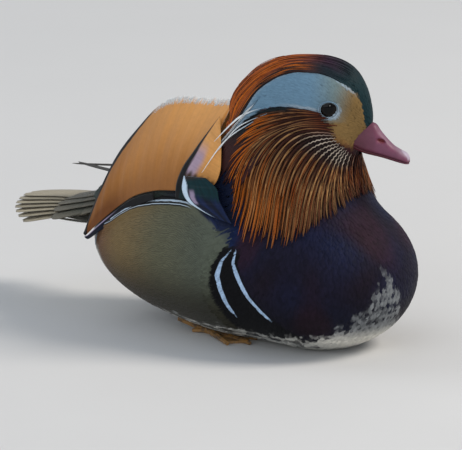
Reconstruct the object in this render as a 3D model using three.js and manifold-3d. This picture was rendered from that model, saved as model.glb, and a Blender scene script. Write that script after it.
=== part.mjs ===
// A drake mandarin duck at rest on its belly, head turned to its left, both sails raised.
// Millimetres. +X is forward, +Y is the bird's left and +Z is up.
import * as THREE from "three";
import { mergeVertices } from "three/addons/utils/BufferGeometryUtils.js";
import Module from "manifold-3d";

const wasm = await Module();
wasm.setup();
const { Manifold, Mesh: SolidMesh } = wasm;

// Driving dimensions
const GAP = 0.35; // space between two nodes that touch
const FLOOR = 1.5; // height at which the belly and the toes are flattened
const HEAD_AT = new THREE.Vector3(53, 0, 135); // midway between the eyes
const HEAD_TURN = 28; // degrees to the left
const NECK_AT = new THREE.Vector3(38, -3, 0); // the axis that the neck turns round
const NECK_TURN = 14; // degrees to the left
const EYE = { x: 0.5, out: 10.6, z: 0, radius: 6.6 };
const LID = { out: 15, halfLong: 5.5, halfHigh: 4.6, thick: 0.9 };
const BLEND = { body: 14, head: 7, neck: 12 };
const GRID = { torso: 11.5, neck: 8, head: 4.9 };
const INSET = { torso: 0.5, neck: 2.4, head: 0.8 }; // depth of each core under the coat
const WING = { top: -0.6, bottom: -3.4, midline: 7, clearance: 0.45 };
const SAIL = { shaft: 2.2, web: 1, sunk: -1.9 };
const TAIL_CUT = { x: -95, z: 49 }; // where the tail parts from the rump
const TAIL = { count: 8, long: 64, short: 38, width: 14, spread: 6.9, thick: 1, rootX: -99 };
const WHISKERS = 10;
const HACKLES = 3;

const vec = (x, y, z) => new THREE.Vector3(x, y, z);
const { lerp, clamp, degToRad } = THREE.MathUtils;
const still = new THREE.Matrix4();
const headFrame = new THREE.Matrix4().makeRotationZ(degToRad(HEAD_TURN)).setPosition(HEAD_AT);
const inHead = (x, y, z) => vec(x, y, z).applyMatrix4(headFrame);
const BOTH_SIDES = [-1, 1];

// The masses that the body is blended from: centre, half sizes, turn to the left and rise of the
// nose in degrees. The crest and the mane are smaller in the cores, because feathers make them up.
const BODY_MASSES = [
  { name: "breast", at: [49, 0, 41], size: [47, 51, 40.5] },
  { name: "middle", at: [0, 0, 47], size: [80, 57, 47] },
  { name: "rear", at: [-46, 0, 46.5], size: [57, 47.5, 37] },
  { name: "rump", at: [-78, 0, 62], size: [33, 21, 12] },
  { name: "back", at: [-10, 0, 72], size: [64, 38, 24] },
  { name: "neckBase", at: [37, -3, 84], size: [31, 35, 33] },
  { name: "neckMiddle", at: [38, -6, 106], size: [25, 24, 26], turn: 20 },
  { name: "mane", at: [16, -17, 100], size: [24, 20, 20], turn: 35, core: 0.84 },
];
const HEAD_MASSES = [
  { name: "cranium", at: [-6, 0, 5], size: [25, 16, 18] },
  { name: "face", at: [9, 0, -7], size: [12.5, 8.5, 13.5] },
  { name: "cheek", at: [-6, 0, -11], size: [18, 16.5, 13] },
  { name: "crown", at: [-15, 0, 13.5], size: [27, 9, 12], rise: 4 },
  { name: "crest", at: [-34, 0, 4], size: [25, 9.5, 15], rise: 32, core: 0.72 },
  { name: "nape", at: [-34, 0, -20], size: [20, 15, 20], rise: 30, core: 0.84 },
];

// One ellipsoid as a function of distance from its surface, good near the surface.
function massField({ at, size, turn = 0, rise = 0 }, frame, scale) {
  const inverse = frame
    .clone()
    .multiply(new THREE.Matrix4().setPosition(...at))
    .multiply(new THREE.Matrix4().makeRotationZ(degToRad(turn)))
    .multiply(new THREE.Matrix4().makeRotationY(degToRad(-rise)))
    .invert();
  const [a, b, c] = size.map((half) => half * scale);
  const q = vec(0, 0, 0);
  return (p) => {
    q.copy(p).applyMatrix4(inverse);
    const near = Math.hypot(q.x / a, q.y / b, q.z / c);
    const steep = Math.hypot(q.x / a ** 2, q.y / b ** 2, q.z / c ** 2);
    return (near * (near - 1)) / Math.max(steep, 1e-9);
  };
}

function smoothUnion(a, b, blend) {
  const h = clamp(0.5 + (0.5 * (b - a)) / blend, 0, 1);
  return lerp(b, a, h) - blend * h * (1 - h);
}

// Signed distance from the blended masses, negative inside.
function blendedField(scaleOf) {
  const body = BODY_MASSES.map((mass) => massField(mass, still, scaleOf(mass)));
  const head = HEAD_MASSES.map((mass) => massField(mass, headFrame, scaleOf(mass)));
  const blend = (fields, p, width) =>
    fields.map((field) => field(p)).reduce((a, b) => smoothUnion(a, b, width));
  return (p) => smoothUnion(blend(body, p, BLEND.body), blend(head, p, BLEND.head), BLEND.neck);
}

const plumage = blendedField(() => 1);
const core = blendedField((mass) => mass.core ?? 1);

function gradient(field, p) {
  const step = 0.25;
  const slope = (dx, dy, dz) =>
    field(vec(p.x + dx, p.y + dy, p.z + dz)) - field(vec(p.x - dx, p.y - dy, p.z - dz));
  return vec(slope(step, 0, 0), slope(0, step, 0), slope(0, 0, step)).normalize();
}

const outward = (p) => gradient(plumage, p);

// Moves a point along the slope of the field until it lies at a height over the plumage.
function atHeight(point, height) {
  const p = point.clone();
  for (let round = 0; round < 6; round++) p.addScaledVector(outward(p), height - plumage(p));
  return p;
}

const noLower = (point, height) => (plumage(point) < height ? atHeight(point, height) : point);

// A point on the trunk, by its place along the body and its angle from the back's midline.
function onTrunk(x, angle, side, height = 0) {
  const across = vec(0, side * Math.sin(degToRad(angle)), Math.cos(degToRad(angle)));
  const axis = vec(x, 0, 50);
  let near = 0;
  let far = 80;
  for (let halving = 0; halving < 30; halving++) {
    const middle = (near + far) / 2;
    if (plumage(axis.clone().addScaledVector(across, middle)) < 0) near = middle;
    else far = middle;
  }
  return atHeight(axis.addScaledVector(across, near), height);
}

// Closed mesh of the zero level of a field: one vertex in each grid cell that the surface
// crosses, and a face across each grid edge that it crosses.
const AXES = [
  [1, 0, 0],
  [0, 1, 0],
  [0, 0, 1],
];

function levelMesh(field, box, step) {
  const size = box.getSize(vec(0, 0, 0)).divideScalar(step).ceil().addScalar(1);
  const index = (i, j, k) => (k * size.y + j) * size.x + i;
  const corner = (i, j, k) => vec(i, j, k).multiplyScalar(step).add(box.min);
  const cells = [];
  for (let k = 0; k < size.z - 1; k++)
    for (let j = 0; j < size.y - 1; j++)
      for (let i = 0; i < size.x - 1; i++) cells.push([i, j, k]);
  const values = new Float64Array(size.x * size.y * size.z);
  for (let k = 0; k < size.z; k++)
    for (let j = 0; j < size.y; j++)
      for (let i = 0; i < size.x; i++) values[index(i, j, k)] = field(corner(i, j, k));
  const crossing = (from, axis) => {
    const to = from.map((n, d) => n + AXES[axis][d]);
    const a = values[index(...from)];
    const b = values[index(...to)];
    return a < 0 === b < 0 ? null : corner(...from).lerp(corner(...to), a / (a - b));
  };
  const vertexOf = new Map();
  const positions = [];
  for (const cell of cells) {
    const crossings = AXES.flatMap((_, axis) => {
      const u = AXES[(axis + 1) % 3];
      const v = AXES[(axis + 2) % 3];
      return [0, 1, 2, 3].map((edge) =>
        crossing(cell.map((n, d) => n + (edge & 1) * u[d] + (edge >> 1) * v[d]), axis),
      );
    }).filter(Boolean);
    if (!crossings.length) continue;
    vertexOf.set(index(...cell), positions.length / 3);
    const p = crossings.reduce((a, b) => a.add(b)).divideScalar(crossings.length);
    for (let round = 0; round < 2; round++) p.addScaledVector(gradient(field, p), -field(p));
    positions.push(p.x, p.y, p.z);
  }
  const faces = [];
  for (const cell of cells) {
    AXES.forEach((_, axis) => {
      const u = AXES[(axis + 1) % 3];
      const v = AXES[(axis + 2) % 3];
      if (!crossing(cell, axis)) return;
      const around = (a, b) => vertexOf.get(index(...cell.map((n, d) => n - a * u[d] - b * v[d])));
      const quad = [around(1, 1), around(0, 1), around(0, 0), around(1, 0)];
      if (values[index(...cell)] >= 0) quad.reverse();
      faces.push(quad[0], quad[1], quad[2], quad[0], quad[2], quad[3]);
    });
  }
  return geometryFrom(positions, faces);
}

function geometryFrom(positions, faces) {
  return new THREE.BufferGeometry()
    .setAttribute("position", new THREE.Float32BufferAttribute(positions, 3))
    .setIndex(faces);
}

// A closed geometry as a solid that can be joined and cut.
function solid(geometry) {
  const bare = geometryFrom([...geometry.attributes.position.array], null);
  bare.setIndex(geometry.index);
  const merged = mergeVertices(bare, 1e-4);
  return new Manifold(
    new SolidMesh({
      numProp: 3,
      vertProperties: new Float32Array(merged.attributes.position.array),
      triVerts: new Uint32Array(merged.index.array),
    }),
  );
}

function geometryOf(body) {
  const mesh = body.getMesh();
  const positions = [];
  for (let i = 0; i < mesh.numVert; i++)
    positions.push(...mesh.vertProperties.subarray(i * mesh.numProp, i * mesh.numProp + 3));
  return geometryFrom(positions, [...mesh.triVerts]);
}

const join = (solids) => solids.reduce((a, b) => a.add(b));
const cut = (body, cutters) => cutters.reduce((a, b) => a.subtract(b), body);
const largest = (body) => body.decompose().reduce((a, b) => (b.volume() > a.volume() ? b : a));

function ellipsoid(at, size, frame = still, around = 24) {
  const shape = new THREE.SphereGeometry(1, around, around / 2);
  return solid(shape.scale(...size).translate(...at).applyMatrix4(frame));
}

// A closed tube through rings of points, with a fan over the first and the last.
function loft(rings) {
  const sides = rings[0].length;
  const points = rings.flat();
  const faces = [];
  for (let r = 0; r + 1 < rings.length; r++)
    for (let s = 0; s < sides; s++) {
      const a = r * sides + s;
      const b = r * sides + ((s + 1) % sides);
      faces.push([a, b, b + sides], [a, b + sides, a + sides]);
    }
  for (const ring of [0, rings.length - 1]) {
    const hub = points.push(rings[ring].reduce((a, b) => a.clone().add(b)).divideScalar(sides)) - 1;
    for (let s = 0; s < sides; s++) {
      const rim = [ring * sides + s, ring * sides + ((s + 1) % sides)];
      faces.push(ring ? [hub, ...rim] : [hub, ...rim.reverse()]);
    }
  }
  return facingOut(points, faces);
}

function facingOut(points, faces) {
  const positions = points.flatMap((p) => [p.x, p.y, p.z]);
  const made = solid(geometryFrom(positions, faces.flat()));
  if (made.volume() > 0) return made;
  return solid(geometryFrom(positions, faces.flatMap(([a, b, c]) => [a, c, b])));
}

// A thin closed sheet over a grid of points, with its thickness given for each point.
function sheet(grid, thickness) {
  const rows = grid.length;
  const columns = grid[0].length;
  const normal = (r, c) => {
    const along = grid[Math.min(r + 1, rows - 1)][c].clone().sub(grid[Math.max(r - 1, 0)][c]);
    const up = grid[r][Math.min(c + 1, columns - 1)].clone().sub(grid[r][Math.max(c - 1, 0)]);
    return along.cross(up).normalize();
  };
  const face = (sign) =>
    grid.flatMap((row, r) =>
      row.map((p, c) => p.clone().addScaledVector(normal(r, c), (sign * thickness(r, c)) / 2)),
    );
  const count = rows * columns;
  const points = [...face(1), ...face(-1)];
  const faces = [];
  for (let r = 0; r + 1 < rows; r++)
    for (let c = 0; c + 1 < columns; c++) {
      const a = r * columns + c;
      const b = a + columns;
      faces.push([a, b, b + 1], [a, b + 1, a + 1]);
      faces.push([a + count, b + 1 + count, b + count], [a + count, a + 1 + count, b + 1 + count]);
    }
  const rim = [];
  for (let c = 0; c + 1 < columns; c++) rim.push(c);
  for (let r = 0; r + 1 < rows; r++) rim.push(r * columns + columns - 1);
  for (let c = columns - 1; c > 0; c--) rim.push((rows - 1) * columns + c);
  for (let r = rows - 1; r > 0; r--) rim.push(r * columns);
  rim.forEach((a, i) => {
    const b = rim[(i + 1) % rim.length];
    faces.push([a, b, b + count], [a, b + count, a + count]);
  });
  return facingOut(points, faces);
}

// Two outlines of a feather, as half widths at places along its length: a broad vane with a
// round end, flat across, and a narrow pointed lock, thickest along its middle.
const BROAD = { places: [0, 0.4, 0.78, 0.94, 1], halves: [0.5, 0.95, 1, 0.68, 0.2], flat: true };
const POINTED = { places: [0, 0.25, 0.5, 0.75, 1], halves: [0.55, 0.9, 1, 0.65, 0.06], flat: false };

// A feather along a path of points: a blade that lies flat to `up`, turned by `roll` degrees.
function feather(path, { width, thick, shape = BROAD, up = outward, roll = 0, grow = 0 }) {
  const curve = new THREE.CatmullRomCurve3(path, false, "centripetal");
  const rings = shape.places.map((t, i) => {
    const p = curve.getPointAt(t);
    const along = curve.getTangentAt(t);
    const across = along.clone().cross(up(p)).normalize().applyAxisAngle(along, degToRad(roll));
    const lift = across.clone().cross(along).normalize();
    const half = Math.max((width / 2) * shape.halves[i], 0.4) + grow;
    const high = (thick / 2) * lerp(1, 0.65, t) + grow;
    const corner = (out, height) =>
      p.clone().addScaledVector(across, out * half).addScaledVector(lift, height * high);
    if (shape.flat) return [corner(-1, 1), corner(1, 1), corner(1, -1), corner(-1, -1)];
    return [corner(-1, 0), corner(0, 1), corner(1, 0), corner(0, -1)];
  });
  return loft(rings);
}

// Points from a to b over the plumage, at the heights given in turn.
function over(a, b, heights) {
  return heights.map((height, i) => atHeight(a.clone().lerp(b, i / (heights.length - 1)), height));
}

// Small even scatter, the same in every run.
let seed = 7;
function scatter(size) {
  seed = (seed * 16807) % 2147483647;
  return (seed / 2147483647 - 0.5) * 2 * size;
}

// The whole bird, as cores at a given depth under the coat
const WORLD = new THREE.Box3(vec(-130, -72, -8), vec(112, 72, 172));
const HEAD_BOX = new THREE.Box3(vec(-16, -44, 98), vec(88, 40, 170));
const whole = (level, step) => solid(levelMesh((p) => core(p) - level, WORLD, step));
const BEYOND = 120; // reaches past the whole bird from its middle
const floorSlab = new THREE.BoxGeometry(4 * BEYOND, 4 * BEYOND, BEYOND);
const floorCutter = solid(floorSlab.translate(0, 0, FLOOR - BEYOND / 2));

// The neck ends in a bowl just below the tips of the whiskers.
const BOWL = { at: [38, -4, 112], size: [40, 109, 52], sides: 40 };
function neckSpace(grow) {
  const size = BOWL.size.map((half) => half + grow);
  const bowl = ellipsoid(BOWL.at, size, still, BOWL.sides);
  const above = new THREE.BoxGeometry(2 * size[0], BEYOND, BEYOND);
  above.translate(BOWL.at[0], 0, BOWL.at[2] + BEYOND / 2);
  return bowl.add(solid(above));
}

// The head ends below the mask, along a line in its side view.
const MASK_LINE = [
  [24, -31],
  [12, -25.5],
  [6, -20],
  [1, -15],
  [-3, -9],
  [-6, -4],
  [-12, -1.5],
  [-20, -1.5],
  [-30, -2.5],
  [-40, -5],
  [-52, -12],
  [-74, -24],
];
function headSpace(grow) {
  const line = MASK_LINE.map(([x, z]) => new THREE.Vector2(x - grow, z - grow));
  const outline = new THREE.Shape([
    ...line,
    new THREE.Vector2(line.at(-1).x, BEYOND),
    new THREE.Vector2(BEYOND, BEYOND),
    new THREE.Vector2(BEYOND, line[0].y),
  ]);
  const block = new THREE.ExtrudeGeometry(outline, { depth: BEYOND, bevelEnabled: false });
  return solid(block.rotateX(Math.PI / 2).translate(0, BEYOND / 2, 0).applyMatrix4(headFrame));
}

// The folded wing lies above this line of the flank, seen from the side.
const FLANK_LINE = [
  [15, 66],
  [10.6, 70.7],
  [-2, 75.5],
  [-12.4, 79],
  [-31, 77.5],
  [-51, 72.5],
  [-61, 67.5],
  [-70, 61.5],
  [-80, 56],
];
function wingSpace(side, grow) {
  const outline = new THREE.Shape([
    ...FLANK_LINE.map(([x, z], i) => new THREE.Vector2(i ? x : x + grow, z - grow)),
    new THREE.Vector2(-84 - grow, 64),
    new THREE.Vector2(-88 - grow, BEYOND),
    new THREE.Vector2(FLANK_LINE[0][0] + grow, BEYOND),
  ]);
  const block = new THREE.ExtrudeGeometry(outline, { depth: BEYOND, bevelEnabled: false });
  const inner = WING.midline - grow;
  block.rotateX(Math.PI / 2).translate(0, side > 0 ? inner + BEYOND : -inner, 0);
  return solid(block);
}

function tailSpace(grow) {
  const block = new THREE.BoxGeometry(BEYOND, 2 * BEYOND, BEYOND);
  return solid(block.translate(TAIL_CUT.x + grow - BEYOND / 2, 0, TAIL_CUT.z - grow + BEYOND / 2));
}

// Torso
function buildTorso() {
  const body = whole(-INSET.torso, GRID.torso);
  const wings = BOTH_SIDES.map((side) =>
    wingSpace(side, GAP).subtract(whole(WING.bottom - WING.clearance, GRID.torso)),
  );
  const sails = BOTH_SIDES.map((side) => sail(side, GAP));
  return largest(cut(body, [...wings, ...sails, tailSpace(GAP), neckSpace(GAP), floorCutter]));
}

// Neck, with the whiskers that hang from the mask and the dark hackles of the nape
const neckFrame = new THREE.Matrix4().makeRotationZ(degToRad(NECK_TURN)).setPosition(NECK_AT);
const WHISKER_ROOTS = [
  [-9, -17, -6],
  [-6.5, -17.7, -9],
  [-4.4, -18.8, -13.2],
  [-0.7, -18, -17.8],
  [4.2, -15, -21.5],
  [8.7, -10.3, -25],
  [14, -3, -28],
];
const WHISKER_TIPS = [
  [25, -32, 120],
  [17, -37, 108],
  [12.5, -39, 95],
  [12, -40, 84],
  [20, -42, 77],
  [34, -46, 68.5],
  [48, -44, 67.5],
  [58, -38, 71],
  [66, -26, 77.5],
  [69.5, -13, 82.5],
  [69.5, -4, 88],
];
const HACKLE_ROOTS = [
  [-15, -15, -5],
  [-26, -14, -6],
  [-36, -11, -9],
  [-42, -6, -14],
];
const HACKLE_TIPS = [
  [16, -40, 86],
  [9, -37, 91],
  [4, -32, 96],
  [3, -22, 98],
];

const WHISKER_SIZE = { width: 8, thick: 1.4, low: -1.1, apart: 1.5 };
const HACKLE_SIZE = { width: 10, thick: 1.4, low: -1.2, apart: 1.7 };

// A place on the neck: given for the right side, mirrored in the half-turned frame for the left.
function neckPoint([x, y, z], side) {
  const p = vec(x, y, z);
  if (side < 0) return p;
  p.applyMatrix4(neckFrame.clone().invert());
  p.y = -p.y;
  return p.applyMatrix4(neckFrame);
}

function hangingLocks(roots, tips, count, side, size) {
  const rootLine = new THREE.CatmullRomCurve3(roots.map(([x, y, z]) => inHead(x, -side * y, z)));
  const tipLine = new THREE.CatmullRomCurve3(tips.map((p) => neckPoint(p, side)));
  return Array.from({ length: count }, (_, i) => {
    const t = (i + 0.5) / count;
    const root = rootLine.getPointAt(t);
    const tip = tipLine.getPointAt(clamp(t + scatter(0.01), 0, 1));
    tip.lerp(root, 0.03 + scatter(0.03));
    const height = size.low + (i % 2) * size.apart;
    const path = over(root, tip, [-4.5, height, height, height, height]);
    return feather(path, { width: size.width, thick: size.thick, shape: POINTED });
  });
}

function buildNeck(headLocks) {
  const body = whole(-INSET.neck, GRID.neck).intersect(neckSpace(0));
  const locks = BOTH_SIDES.flatMap((side) => [
    ...hangingLocks(WHISKER_ROOTS, WHISKER_TIPS, WHISKERS, side, WHISKER_SIZE),
    ...hangingLocks(HACKLE_ROOTS, HACKLE_TIPS, HACKLES, side, HACKLE_SIZE),
  ]);
  const joined = join([body, ...locks]).intersect(neckSpace(0));
  return largest(cut(joined, [headSpace(GAP), ...headLocks]));
}

// Head: crown, mask, lids, crest and the white plumes behind the eyes
const CREST_ROWS = [
  { from: [6, 3, 20], to: [-58, 2, -7], count: 2, spread: 4 },
  { from: [-8, 8, 20], to: [-57, 5, -12], count: 2, spread: 5 },
  { from: [-20, 12, 14], to: [-52, 9, -17], count: 1, spread: 4 },
];
const PLUMES = [
  { from: [-14, 15.5, 4], to: [-60, 12, -17], width: 5 },
  { from: [-12, 15.8, 0], to: [-68, 12, -30], width: 5 },
];

function headLockPaths() {
  const crest = CREST_ROWS.flatMap(({ from, to, count, spread }) =>
    BOTH_SIDES.flatMap((side) =>
      Array.from({ length: count }, (_, i) => {
        const slide = (i + 0.5) * (spread / count);
        const start = inHead(from[0] - 3.5 * i, side * (from[1] - 0.3 * slide), from[2]);
        const end = inHead(to[0] + scatter(2), side * (to[1] + 0.5 * slide), to[2] - 1.2 * slide);
        const height = (i % 2 ? 0.7 : -0.8) + 0.1 * scatter(1);
        return { path: over(start, end, [-3.4, height, height, height]), width: 8, thick: 1.3 };
      }),
    ),
  );
  const plumes = BOTH_SIDES.flatMap((side) =>
    PLUMES.map(({ from, to, width }) => {
      const start = inHead(from[0], side * from[1], from[2]);
      const end = inHead(to[0], side * to[1], to[2]);
      const path = over(start, end, [-2.6, 1.8, 2.7, 2.9, 3.1]);
      path[4] = noLower(end, 3.1);
      return { path, width, thick: 1.3 };
    }),
  );
  return [...crest, ...plumes];
}

function headLocks(paths, grow) {
  return paths.map(({ path, width, thick }) => feather(path, { width, thick, shape: POINTED, grow }));
}

function lid(side) {
  const ring = new THREE.TorusGeometry(1, LID.thick / LID.halfHigh, 5, 16);
  ring.scale(LID.halfLong, LID.halfHigh, LID.halfHigh).rotateX(Math.PI / 2);
  return solid(ring.translate(EYE.x, side * LID.out, EYE.z).applyMatrix4(headFrame));
}

function eyeball(side, grow) {
  const size = [EYE.radius + grow, EYE.radius + grow, EYE.radius - 0.8 + grow];
  return ellipsoid([EYE.x, side * EYE.out, EYE.z], size, headFrame, 16);
}

function buildHead(paths) {
  const field = (p) => Math.max(core(p) + INSET.head, HEAD_BOX.min.z + 2 - p.z);
  const skull = solid(levelMesh(field, HEAD_BOX, GRID.head)).intersect(headSpace(0));
  const joined = join([skull, ...BOTH_SIDES.map(lid), ...headLocks(paths, 0)]);
  const eyes = BOTH_SIDES.map((side) => eyeball(side, GAP));
  return largest(cut(joined, [...eyes, bill("upper", GAP), bill("lower", GAP)]));
}

// Bill, in stations along its length: top, mouth line, bottom and half width
const BILL_STATIONS = [
  { x: 10, top: -9.5, mouth: -20, bottom: -23, half: 6.8 },
  { x: 17, top: -7, mouth: -23, bottom: -25.5, half: 6.6 },
  { x: 22.6, top: -8.2, mouth: -24.5, bottom: -26.7, half: 6 },
  { x: 25.4, top: -12.4, mouth: -25.2, bottom: -27.3, half: 5.5 },
  { x: 28.4, top: -16.8, mouth: -26, bottom: -28, half: 5.1 },
  { x: 32.8, top: -21.2, mouth: -27.2, bottom: -29.2, half: 4.8 },
  { x: 36.7, top: -23.5, mouth: -28.4, bottom: -30.2, half: 4.6 },
  { x: 39.9, top: -25.4, mouth: -29.5, bottom: -30.9, half: 3.7 },
  { x: 41.6, top: -27.4, mouth: -30.1, bottom: -31, half: 2 },
];
const NOSTRIL = { x: 26.6, z: -18.2, halfLong: 2.5, halfHigh: 1.1, halfDeep: 20 };
const NAIL = { at: [40, 0, -27.2], size: [2.5, 2.3, 1.9] };
const BILL_SIDES = 10;
const BILL_TAPER = 0.62; // width of the ridge as a share of the width at the mouth
const LOWER_NARROWER = 0.7;

function bill(part, grow) {
  const stations = part === "lower" ? BILL_STATIONS.slice(0, -1) : BILL_STATIONS;
  const rings = stations.map(({ x, top, mouth, bottom, half }) => {
    const high = part === "upper" ? top : mouth - GAP;
    const low = part === "upper" ? mouth : bottom;
    const wide = part === "upper" ? half : half - LOWER_NARROWER;
    return Array.from({ length: BILL_SIDES }, (_, i) => {
      const angle = (2 * Math.PI * (i + 0.5)) / BILL_SIDES;
      const z = Math.sin(angle);
      const belly = part === "upper" ? lerp(1, BILL_TAPER, clamp(z, 0, 1)) : 1;
      const flat = (part === "upper" ? z < -0.4 : z > 0.4) ? Math.sign(z) : z;
      return inHead(
        x,
        Math.cos(angle) * (wide * belly + grow),
        (high + low) / 2 + flat * ((high - low) / 2 + grow),
      );
    });
  });
  return loft(rings);
}

function buildBillUpper() {
  const through = [NOSTRIL.halfLong, NOSTRIL.halfDeep, NOSTRIL.halfHigh];
  const nostrils = ellipsoid([NOSTRIL.x, 0, NOSTRIL.z], through, headFrame, 8);
  const nail = ellipsoid(NAIL.at, NAIL.size, headFrame, 8);
  return largest(join([bill("upper", 0), nail]).subtract(nostrils));
}

// Sails: the upright inner vane of the last wing feather, on its shaft
const SAIL_SHAFT = [
  [-8, -42, 85],
  [-22, -42, 83.5],
  [-38, -41, 81],
  [-54, -38.5, 75.5],
  [-67, -37, 67.5],
  [-79, -38.5, 57.5],
  [-90, -38, 48],
];
const SAIL_RIM = [
  [-27, -11, 128],
  [-41, -10.5, 127],
  [-56, -13, 121],
  [-67, -17.5, 110.5],
  [-76, -25, 95],
  [-82.5, -33, 75],
  [-91.5, -38, 50],
];
const SAIL_COLUMNS = 5;
const SAIL_ROWS = 9;

function sail(side, grow) {
  const flip = ([x, y, z]) => vec(x, -side * y, z);
  const rooted = SAIL_SHAFT.map((p, i) => (i < 5 ? atHeight(flip(p), SAIL.sunk) : flip(p)));
  const shaft = new THREE.CatmullRomCurve3(rooted);
  const rim = new THREE.CatmullRomCurve3(SAIL_RIM.map(flip));
  const inner = Array.from({ length: SAIL_ROWS + 1 }, (_, r) => {
    const low = shaft.getPoint(r / SAIL_ROWS);
    const high = rim.getPoint(r / SAIL_ROWS);
    return Array.from({ length: SAIL_COLUMNS + 1 }, (_, c) => {
      const v = c / SAIL_COLUMNS;
      const p = low.clone().lerp(high, v);
      const bulge = 0.09 * low.distanceTo(high) * Math.sin(Math.PI * v);
      return p.add(vec(0, side * bulge, 0));
    });
  });
  const beyond = (p, next) => p.clone().addScaledVector(p.clone().sub(next).normalize(), grow);
  const long = inner.map((row) => [beyond(row[0], row[1]), ...row.slice(1)]);
  const grid = [
    long[0].map((p, c) => beyond(p, long[1][c])),
    ...long.slice(1, -1),
    long.at(-1).map((p, c) => beyond(p, long.at(-2)[c])),
  ];
  return sheet(grid, (_, c) => (c === 0 ? SAIL.shaft : SAIL.web) + 2 * grow);
}

// Wings: a plate on the body with tiers of feathers: scapulars, tertials, secondaries, primaries
const WING_TIERS = [
  { count: 2, from: [-40, 26], to: [-42, 48], tipFrom: [-84, 24], tipTo: [-76, 50], width: 22, height: 0.3 },
  { count: 3, from: [-18, 24], to: [-16, 50], tipFrom: [-60, 20], tipTo: [-50, 48], width: 18, height: 1.6 },
  { count: 3, from: [-10, 30], to: [6, 60], tipFrom: [-36, 22], tipTo: [-22, 54], width: 18, height: 2.9 },
];
const WING_FEATHER = { thick: 0.9, roll: 6 };
const PRIMARIES = 3;

function wingFeathers(side) {
  const covers = WING_TIERS.flatMap(({ count, from, to, tipFrom, tipTo, width, height }) =>
    Array.from({ length: count }, (_, i) => {
      const t = i / (count - 1);
      const root = [lerp(from[0], to[0], t), lerp(from[1], to[1], t)];
      const tip = [lerp(tipFrom[0], tipTo[0], t) + scatter(1.5), lerp(tipFrom[1], tipTo[1], t)];
      const path = [-2.4, height * 0.8, height, height].map((lift, k) =>
        onTrunk(lerp(root[0], tip[0], k / 3), lerp(root[1], tip[1], k / 3), side, lift),
      );
      return feather(path, { width, thick: WING_FEATHER.thick, roll: -side * WING_FEATHER.roll });
    }),
  );
  const primaries = Array.from({ length: PRIMARIES }, (_, i) => {
    const root = onTrunk(-62, 34 + 7 * i, side, -2);
    const middle = onTrunk(-84, 33 + 5 * i, side, 2.6 + 0.6 * (2 - i));
    const tip = vec(-128 + 6 * i, side * (10 + 3.4 * i), 72 - 2.5 * i);
    return feather([root, middle, middle.clone().lerp(tip, 0.5).add(vec(0, 0, 2)), tip], {
      width: 10,
      thick: 1.3,
      shape: POINTED,
      up: () => vec(0, side * 0.35, 1).normalize(),
    });
  });
  return [...covers, ...primaries];
}

function buildWing(side) {
  const plate = wingSpace(side, 0)
    .intersect(whole(WING.top, GRID.torso))
    .subtract(whole(WING.bottom, GRID.torso));
  const joined = join([largest(plate), ...wingFeathers(side)]);
  const flank = whole(GAP - INSET.torso, GRID.torso).subtract(wingSpace(side, 0));
  return largest(cut(joined, [flank, sail(side, GAP), neckSpace(GAP)]));
}

// Tail: graduated feathers in a shallow roof, with coverts above and below
function tailFan({ count, long, short, width, spread, thick, rootX, rise, drop, roof, roll = 9 }) {
  return Array.from({ length: count }, (_, i) => {
    const place = i - (count - 1) / 2;
    const out = Math.abs(place) / ((count - 1) / 2);
    const length = lerp(long, short, out ** 1.3);
    const root = vec(rootX, place * spread * 0.45, rise - roof * 0.5 * out);
    const tip = vec(rootX - length, place * spread + scatter(0.4), rise - drop - roof * out);
    const middle = root.clone().lerp(tip, 0.5).add(vec(0, 0, 1.2));
    const tilt = vec(0, 0.03 * place, 1).normalize();
    return feather([root, middle, tip], { width, thick, up: () => tilt, roll: -roll * Math.sign(place) });
  });
}

const COVERTS = { count: 3, long: 36, short: 28, width: 18, spread: 12, thick: 1.4, rootX: -98, roof: 4 };

function buildTail() {
  const root = whole(-INSET.torso, GRID.torso);
  const fans = [
    ...tailFan({ ...TAIL, rise: 61, drop: 7, roof: 5 }),
    ...tailFan({ ...COVERTS, rise: 66, drop: 6 }),
    ...tailFan({ ...COVERTS, rise: 54, drop: 0, roll: -9 }),
  ];
  return largest(join([root.intersect(tailSpace(0)), ...fans]));
}

// Feet, folded forward flat under the belly: three webbed toes, a hind toe and the shank
const FOOT = { at: [-18, 20], toe: 36, spread: 19, turn: 12, radius: 2, web: 1.6, shank: 18, hind: 8 };
const TOE = { outer: 0.86, taper: 0.6, drop: 0.4, bare: 0.14 }; // shares of the middle toe, and its fall

function tube(a, b, startRadius, endRadius) {
  const along = b.clone().sub(a);
  const shape = new THREE.CylinderGeometry(endRadius, startRadius, along.length(), 6, 1);
  shape.translate(0, along.length() / 2, 0);
  const turn = new THREE.Quaternion().setFromUnitVectors(vec(0, 1, 0), along.normalize());
  return solid(shape.applyQuaternion(turn).translate(a.x, a.y, a.z));
}

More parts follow.
